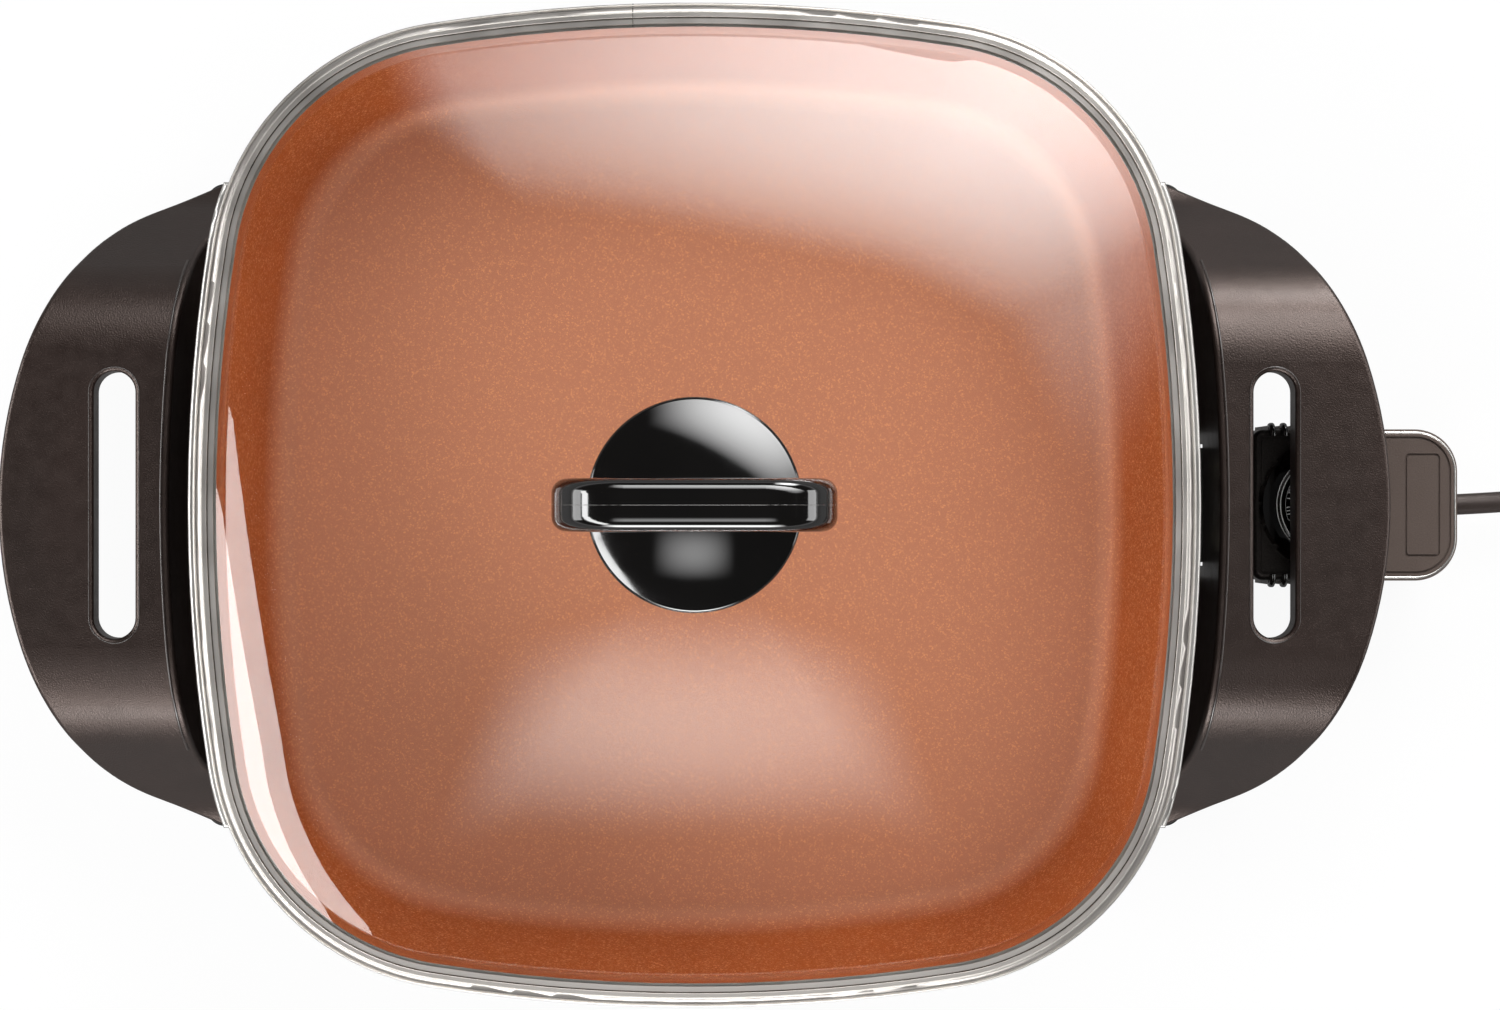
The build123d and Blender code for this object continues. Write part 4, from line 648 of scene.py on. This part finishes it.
def mouth_line(inset, height):
    """Closed line round the pan, inset from its mouth line, at a height over its rim."""
    side = SIDE_BOW_RADIUS - inset
    corner = CORNER_RADIUS - inset
    lift = SIDE_BOW_RADIUS - MOUTH_HALF
    centre = (math.sqrt(2 * (side - corner) ** 2 - lift**2) - lift) / 2
    joint = math.degrees(math.atan2(centre + lift, centre))
    quarter = arc_points((centre, centre), corner, 90 - joint, joint, CORNER_POINTS)
    quarter += arc_points((0.0, -lift), side, joint, 180 - joint, SIDE_POINTS)[1:-1]
    points = []
    for turn in range(4):
        points += [Matrix.Rotation(math.pi / 2 * turn, 2) @ Vector(point) for point in quarter]
    return [(point.x + PAN_X, point.y, RIM_Z + height) for point in points]


# Cord


def coil_point(start, turns):
    """Point of the coil: in along the lower layer, up, and out along the upper layer."""
    climb_end = COIL_LAYER_TURNS + COIL_CLIMB_TURNS
    spare = max(COIL_LAYER_TURNS - turns, turns - climb_end, 0.0)
    radius = COIL_MIN_RADIUS + COIL_PITCH * spare
    climbed = min(max((turns - COIL_LAYER_TURNS) / COIL_CLIMB_TURNS, 0.0), 1.0)
    height = COIL_LAYER_STEP * climbed**2 * (3 - 2 * climbed)
    angle = math.pi / 2 - 2 * math.pi * turns
    centre = start - Vector((0.0, COIL_MIN_RADIUS + COIL_PITCH * COIL_LAYER_TURNS, 0.0))
    return centre + Vector((radius * math.cos(angle), radius * math.sin(angle), height))


def cord_points():
    points = [CORD_EXIT + Vector(step) for step in RUN_STEPS]
    start = points[-1]
    count = round(COIL_TURNS * COIL_POINTS_PER_TURN)
    points += [coil_point(start, COIL_TURNS * index / count) for index in range(1, count + 1)]
    end = points[-1]
    return points + [end + Vector(step) for step in TAIL_STEPS]


def make_cord():
    curve = round_curve("mains_cord", CORD_DIAMETER, CORD_ROUNDNESS, "cord_jacket")
    curve.resolution_u = CORD_STEPS_PER_POINT
    spline = add_spline(curve, "NURBS", cord_points())
    spline.order_u = 3
    spline.use_endpoint_u = True
    cord = add_piece("mains_cord", curve, "probe")
    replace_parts(cord, "cord_run", "cord_coil", "cord_tail")


# Dial


def dial_point(radius, angle):
    return arc_points(DIAL_CENTRE, radius, angle, angle, 1)[0]


def make_dial_lines():
    """Two rings of painted highlight round the dial's edge, and the printed frame round its word."""
    top = DIAL_HIGH.z
    paths = []
    for radius, drop in HIGHLIGHT_RINGS:
        ring = arc_points(DIAL_CENTRE, radius, 0, 360, RING_POINTS)[:-1]
        paths.append([(x, y, top - drop) for x, y in ring])
    start, end = FRAME_ANGLES
    middle = (FRAME_INNER + FRAME_OUTER) / 2
    cap = (FRAME_OUTER - FRAME_INNER) / 2
    outline = arc_points(DIAL_CENTRE, FRAME_OUTER, start, end)
    outline += arc_points(dial_point(middle, end), cap, end, end + 180)
    outline += arc_points(DIAL_CENTRE, FRAME_INNER, end, start)
    outline += arc_points(dial_point(middle, start), cap, start + 180, start + 360)
    paths.append([(x, y, top - DISH_DEPTH) for x, y in outline])
    line_piece("dial_lines", paths, DIAL_LINE_WIDTH, "dial_print_and_highlights", "dial", "ceramic")


def letter_mesh(letter):
    """Flat mesh of one letter or digit, centred and at the marks' height."""
    curve = bpy.data.curves.new("letter", "FONT")
    curve.body = letter
    curve.extrude = LETTER_EXTRUDE
    holder = add_object("letter", curve)
    view = bpy.context.evaluated_depsgraph_get()
    mesh = bpy.data.meshes.new_from_object(holder.evaluated_get(view))
    bpy.data.objects.remove(holder)
    bpy.data.curves.remove(curve)
    columns = list(zip(*[vertex.co for vertex in mesh.vertices]))
    middle = [(min(column) + max(column)) / 2 for column in columns]
    tall = max(columns[1]) - min(columns[1])
    thick = max(columns[2]) - min(columns[2])
    scale = MARK_HEIGHT / tall
    sizing = Matrix.Diagonal((scale, scale, MARK_RELIEF / thick, 1.0))
    mesh.transform(sizing @ Matrix.Translation([-value for value in middle]))
    return mesh


def make_dial_letters():
    """Word and numbers in the dial's dish, with their tops towards its middle."""
    places = list(WORD_LETTERS)
    for digits, angle in SCALE_NUMBERS:
        offset = (len(digits) - 1) / 2
        places += [(digit, angle + DIGIT_STEP * (index - offset)) for index, digit in enumerate(digits)]
    marks = bmesh.new()
    for letter, angle in places:
        mesh = letter_mesh(letter)
        x, y = dial_point(MARK_RADIUS, angle)
        turn = Matrix.Rotation(math.radians(angle + 90), 4, "Z")
        mesh.transform(Matrix.Translation((x, y, DIAL_HIGH.z - DISH_DEPTH)) @ turn)
        marks.from_mesh(mesh)
        bpy.data.meshes.remove(mesh)
    mesh = bpy.data.meshes.new("dial_letters")
    marks.to_mesh(mesh)
    marks.free()
    mesh.materials.append(FINISHES["dial_print_and_highlights"])
    add_piece("dial_letters", mesh, "dial")


# Fine lines on the lid, the control and the handles, many of them painting highlights on edges or shade in
# grooves


def make_parting_line():
    """Moulding line over the lid handle's bar, in a lighter grey that paints the highlight it catches."""
    half = (BAR_HIGH.x - BAR_LOW.x) / 2 - BAR_SHOULDER
    level = BAR_HIGH.z - BAR_SHOULDER
    radius = BAR_SHOULDER - PARTING_SINK
    right = arc_points((PAN_X + half, level), radius, 0, 90)
    left = arc_points((PAN_X - half, level), radius, 90, 180)
    path = [(x, 0.0, z) for x, z in right + left]
    line_piece("knob_parting_line", [path], PARTING_WIDTH, "parting_line_highlight", "lid", "gloss_black", closed=False)


def make_probe_edge_highlight():
    """Painted highlight: thin bright metal line along the rounded edge of the control's top cover, at the
    cord's end.
    """
    level = COVER_HIGH.z - TRIM_DROP
    back = COVER_HIGH.x - TRIM_INSET
    side = COVER_SIDE_Y - TRIM_INSET
    corner = COVER_BACK_CORNER - TRIM_INSET
    plan = [(TRIM_FRONT_X, -side)]
    plan += arc_points((back - corner, corner - side), corner, 270, 360)
    plan += arc_points((back - corner, side - corner), corner, 0, 90)
    plan.append((TRIM_FRONT_X, side))
    path = [(x, y, level) for x, y in plan]
    line_piece("probe_edge_highlight", [path], TRIM_WIDTH, "probe_edge_highlight", "probe", "rim_steel", closed=False)


def make_rib_tips():
    """Upper ends of the grip ribs, bent over the cover's edge on both sides."""
    paths = []
    for index in range(RIB_COUNT):
        x = COVER_LOW.x + RIB_START_X + RIB_PITCH * index
        for side in (-1, 1):
            paths.append([(x, side * reach, COVER_HIGH.z - drop) for reach, drop in RIB_SECTION])
    line_piece("probe_rib_tips", paths, RIB_WIDTH, "rib_gloss", "probe", "probe_plastic", closed=False)


def make_rim_lines():
    """Painted shade in the grooves and painted highlights on the edges that run round the lid's band."""
    kinds = (("dark", "rim_groove_shade", RIM_SHADE_LINES), ("bright", "rim_edge_highlight", RIM_HIGHLIGHT_LINES))
    for kind, finish, lines in kinds:
        for number, (inset, height, width) in enumerate(lines, start=1):
            path = mouth_line(inset, height)
            line_piece(f"rim_{kind}_line_{number}", [path], width, finish, "lid", "rim_steel")


def make_rim_seam():
    """Joint in the lid's band, across its top and edge."""
    band = NODES["lid_rim"]
    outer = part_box("lid_rim")[1]
    path = []
    for index in range(SEAM_STEPS):
        above = Vector((PAN_X + SEAM_X, outer.y - SEAM_STEP * index, outer.z + SEAM_START_HEIGHT))
        met, place, _, _ = band.ray_cast(above, DOWN)
        if met and place.z > RIM_Z - RIM_THICKNESS:
            path.append(tuple(place))
    line_piece("rim_seam", [path], SEAM_WIDTH, "rim_seam", "lid", "rim_steel", closed=False)


def handle_top(name, side, points):
    """Points in plan from the pan's axis, laid on top of the handle on that side."""
    path = []
    for x, y in points:
        met, place, _, _ = NODES[name].ray_cast(Vector((PAN_X + side * x, y, RIM_Z)), DOWN)
        if met:
            path.append(tuple(place))
    return path


def make_handle_lines():
    """Fine bead along each handle's inner edge, and the lip round its slot, in lighter glossy plastic that
    paints the highlights of those rounded edges.
    """
    radius = SIDE_BOW_RADIUS + HANDLE_GAP + BEAD_INSET
    count = round(BEAD_HALF_LENGTH / BEAD_STEP)
    places = [BEAD_STEP * index for index in range(-count, count + 1)]
    edge = [(math.sqrt(radius**2 - y**2) - SIDE_BOW_RADIUS + MOUTH_HALF, y) for y in places]
    slot_x = MOUTH_HALF + HANDLE_GAP + SLOT_SETBACK
    bend = SLOT_HALF_LENGTH - SLOT_HALF_WIDTH
    reach = SLOT_HALF_WIDTH + LIP_OFFSET
    lip = arc_points((slot_x, bend), reach, 0, 180, LIP_POINTS)
    lip += arc_points((slot_x, -bend), reach, 180, 360, LIP_POINTS)
    look = ("handle_highlight_bead", "base", "handle_plastic")
    for name, side in (("left", -1), ("right", 1)):
        bead_path = handle_top(f"{name}_handle", side, edge)
        lip_path = handle_top(f"{name}_handle", side, lip)
        line_piece(f"{name}_handle_highlight_bead", [bead_path], BEAD_WIDTH, *look, closed=False)
        line_piece(f"{name}_slot_lip", [lip_path], LIP_WIDTH, *look)


# Lid glass


def dome_rings(inset, base):
    """Rings up one face of the dome, each a smaller copy of its outline, and one round the screw's hole."""
    axis = Vector((PAN_X, 0.0))
    outline = [Vector(point[:2]) - axis for point in mouth_line(inset, base)]
    rings = []
    for step in range(DOME_STEPS + 1):
        share = 1.0 - (1.0 - DOME_TOP_SHARE) * step / DOME_STEPS
        height = RIM_Z + base + DOME_RISE * (1.0 - share**DOME_POWER)
        rings.append([(*(axis + share * point), height) for point in outline])
    rings.append([(*(axis + GLASS_HOLE_RADIUS * point.normalized()), height) for point in outline])
    return rings


def make_glass():
    """Glass of the lid with fine even faces, so that reflections run smoothly over its dome."""
    top = GLASS_SEAT_HEIGHT + GLASS_THICKNESS
    rings = [mouth_line(GLASS_EDGE_INSET, GLASS_SEAT_HEIGHT), mouth_line(GLASS_EDGE_INSET, top)]
    rings += dome_rings(GLASS_EDGE_INSET + GLASS_BORDER, top)
    rings += reversed(dome_rings(GLASS_EDGE_INSET + GLASS_BORDER + GLASS_SEAT, GLASS_SEAT_HEIGHT))
    shape = bmesh.new()
    loops = [[shape.verts.new(point) for point in ring] for ring in rings]
    for first, second in zip(loops, loops[1:] + loops[:1]):
        for index in range(len(first)):
            face = shape.faces.new((first[index - 1], first[index], second[index], second[index - 1]))
            face.smooth = True
    bmesh.ops.recalc_face_normals(shape, faces=shape.faces)
    mesh = bpy.data.meshes.new("glass_dome")
    shape.to_mesh(mesh)
    shape.free()
    mesh.set_sharp_from_angle(angle=math.radians(GLASS_EDGE_ANGLE))
    mesh.materials.append(FINISHES["lid_glass"])
    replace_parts(add_piece("glass_dome", mesh, "lid"), "lid_glass")


# Stage, light and camera


def make_floor():
    """White floor that glows to the camera and through glass, less so in reflections, and takes shadows."""
    mesh = bpy.data.meshes.new("floor")
    corners = [(x * FLOOR_HALF, y * FLOOR_HALF, 0.0) for x, y in ((-1, -1), (1, -1), (1, 1), (-1, 1))]
    mesh.from_pydata(corners, [], [(0, 1, 2, 3)])
    floor = add_object("floor", mesh)
    floor.location.z = -FLOOR_DROP
    material = bpy.data.materials.new("floor_white")
    material.use_nodes = True
    material.node_tree.nodes.clear()
    paper = add_node(material, "ShaderNodeBsdfDiffuse", Color=grey(FLOOR_WHITE))
    glow = add_node(material, "ShaderNodeEmission", Color=grey(1.0))
    path = add_node(material, "ShaderNodeLightPath").outputs
    seen = maths(material, "MAXIMUM", path["Is Camera Ray"], path["Is Transmission Ray"])
    mirrored = maths(material, "MAXIMUM", seen, path["Is Glossy Ray"])
    share = maths(material, "MULTIPLY", mirrored, FLOOR_GLOW_SHARE)
    join(material, maths(material, "MAXIMUM", seen, FLOOR_MIRRORED_LEVEL), glow.inputs["Strength"])
    mix = mixed_shaders(material, share, paper.outputs["BSDF"], glow.outputs["Emission"])
    output = add_node(material, "ShaderNodeOutputMaterial")
    join(material, mix, output.inputs["Surface"])
    mesh.materials.append(material)


def softbox(name, azimuth, elevation, distance, size, radiance, soft, turn):
    """Rectangular lamp that faces the lid or is turned from it, with soft edges if asked."""
    lamp = bpy.data.lights.new(name, "AREA")
    lamp.shape = "RECTANGLE"
    lamp.size, lamp.size_y = size
    lamp.energy = radiance * LAMP_WATTS * size[0] * size[1]
    if soft:
        fade_edges(lamp, upwards=soft == "upwards")
    light = add_object(name, lamp)
    around, up = math.radians(azimuth), math.radians(elevation)
    away = Vector((math.cos(around) * math.cos(up), math.sin(around) * math.cos(up), math.sin(up)))
    light.location = Vector((PAN_X, 0.0, RIM_Z)) + distance * away
    facing = Matrix.Rotation(math.radians(turn), 3, "Z") @ -away
    light.rotation_euler = facing.to_track_quat("-Z", "Y").to_euler()


def fade_edges(lamp, upwards):
    """Brightness that falls off from the lamp's middle to its sides, and to both edges or upwards."""
    lamp.use_nodes = True
    place = add_node(lamp, "ShaderNodeNewGeometry")
    parts = axes_of(lamp, place.outputs["Parametric"])
    across = bump_of(lamp, parts["X"])
    if upwards:
        along = maths(lamp, "SUBTRACT", 1.0, maths(lamp, "POWER", parts["Y"], LAMP_FALL_POWER))
    else:
        along = bump_of(lamp, parts["Y"])
    strength = lamp.node_tree.nodes["Emission"].inputs["Strength"]
    join(lamp, maths(lamp, "MULTIPLY", across, along), strength)


def bump_of(owner, value):
    """Smooth bump that is 0 at 0 and 1, and 1 halfway."""
    rest = maths(owner, "SUBTRACT", 1.0, value)
    scaled = maths(owner, "MULTIPLY", maths(owner, "MULTIPLY", rest, value), 4.0)
    return maths(owner, "POWER", scaled, LAMP_EDGE_POWER)


def make_lights():
    for name, values in LAMPS.items():
        softbox(name, *values)


def make_world():
    """Studio round the table: pale at the horizon, dark above it and dim overhead."""
    world = bpy.data.worlds.new("studio")
    world.use_nodes = True
    place = add_node(world, "ShaderNodeTexCoord")
    height = axes_of(world, place.outputs["Generated"])["Z"]
    ramp = add_node(world, "ShaderNodeValToRGB")
    stops = ramp.color_ramp.elements
    for place_on_ramp, _ in WORLD_LEVELS[1:-1]:
        stops.new(place_on_ramp)
    for stop, (_, level) in zip(stops, WORLD_LEVELS):
        stop.color = grey(level)
    join(world, height, ramp.inputs["Fac"])
    join(world, ramp.outputs["Color"], world.node_tree.nodes["Background"].inputs["Color"])
    bpy.context.scene.world = world


def make_camera():
    camera = bpy.data.cameras.new("photo_camera")
    camera.sensor_width = SENSOR
    distance = CAMERA_HEIGHT - RIM_Z
    camera.lens = SENSOR * distance / (PHOTO_WIDTH * RIM_METRES_PER_PIXEL)
    camera.shift_x = 0.5 - PHOTO_PAN_X / PHOTO_WIDTH
    view = add_object("photo_camera", camera)
    view.location = (PAN_X, 0.0, CAMERA_HEIGHT)
    bpy.context.scene.camera = view


finish_nodes()
make_cord()
make_dial_lines()
make_dial_letters()
make_parting_line()
make_probe_edge_highlight()
make_rib_tips()
make_rim_lines()
make_rim_seam()
make_handle_lines()
make_glass()
make_floor()
make_lights()
make_world()
make_camera()
bpy.context.scene.view_settings.view_transform = "Standard"
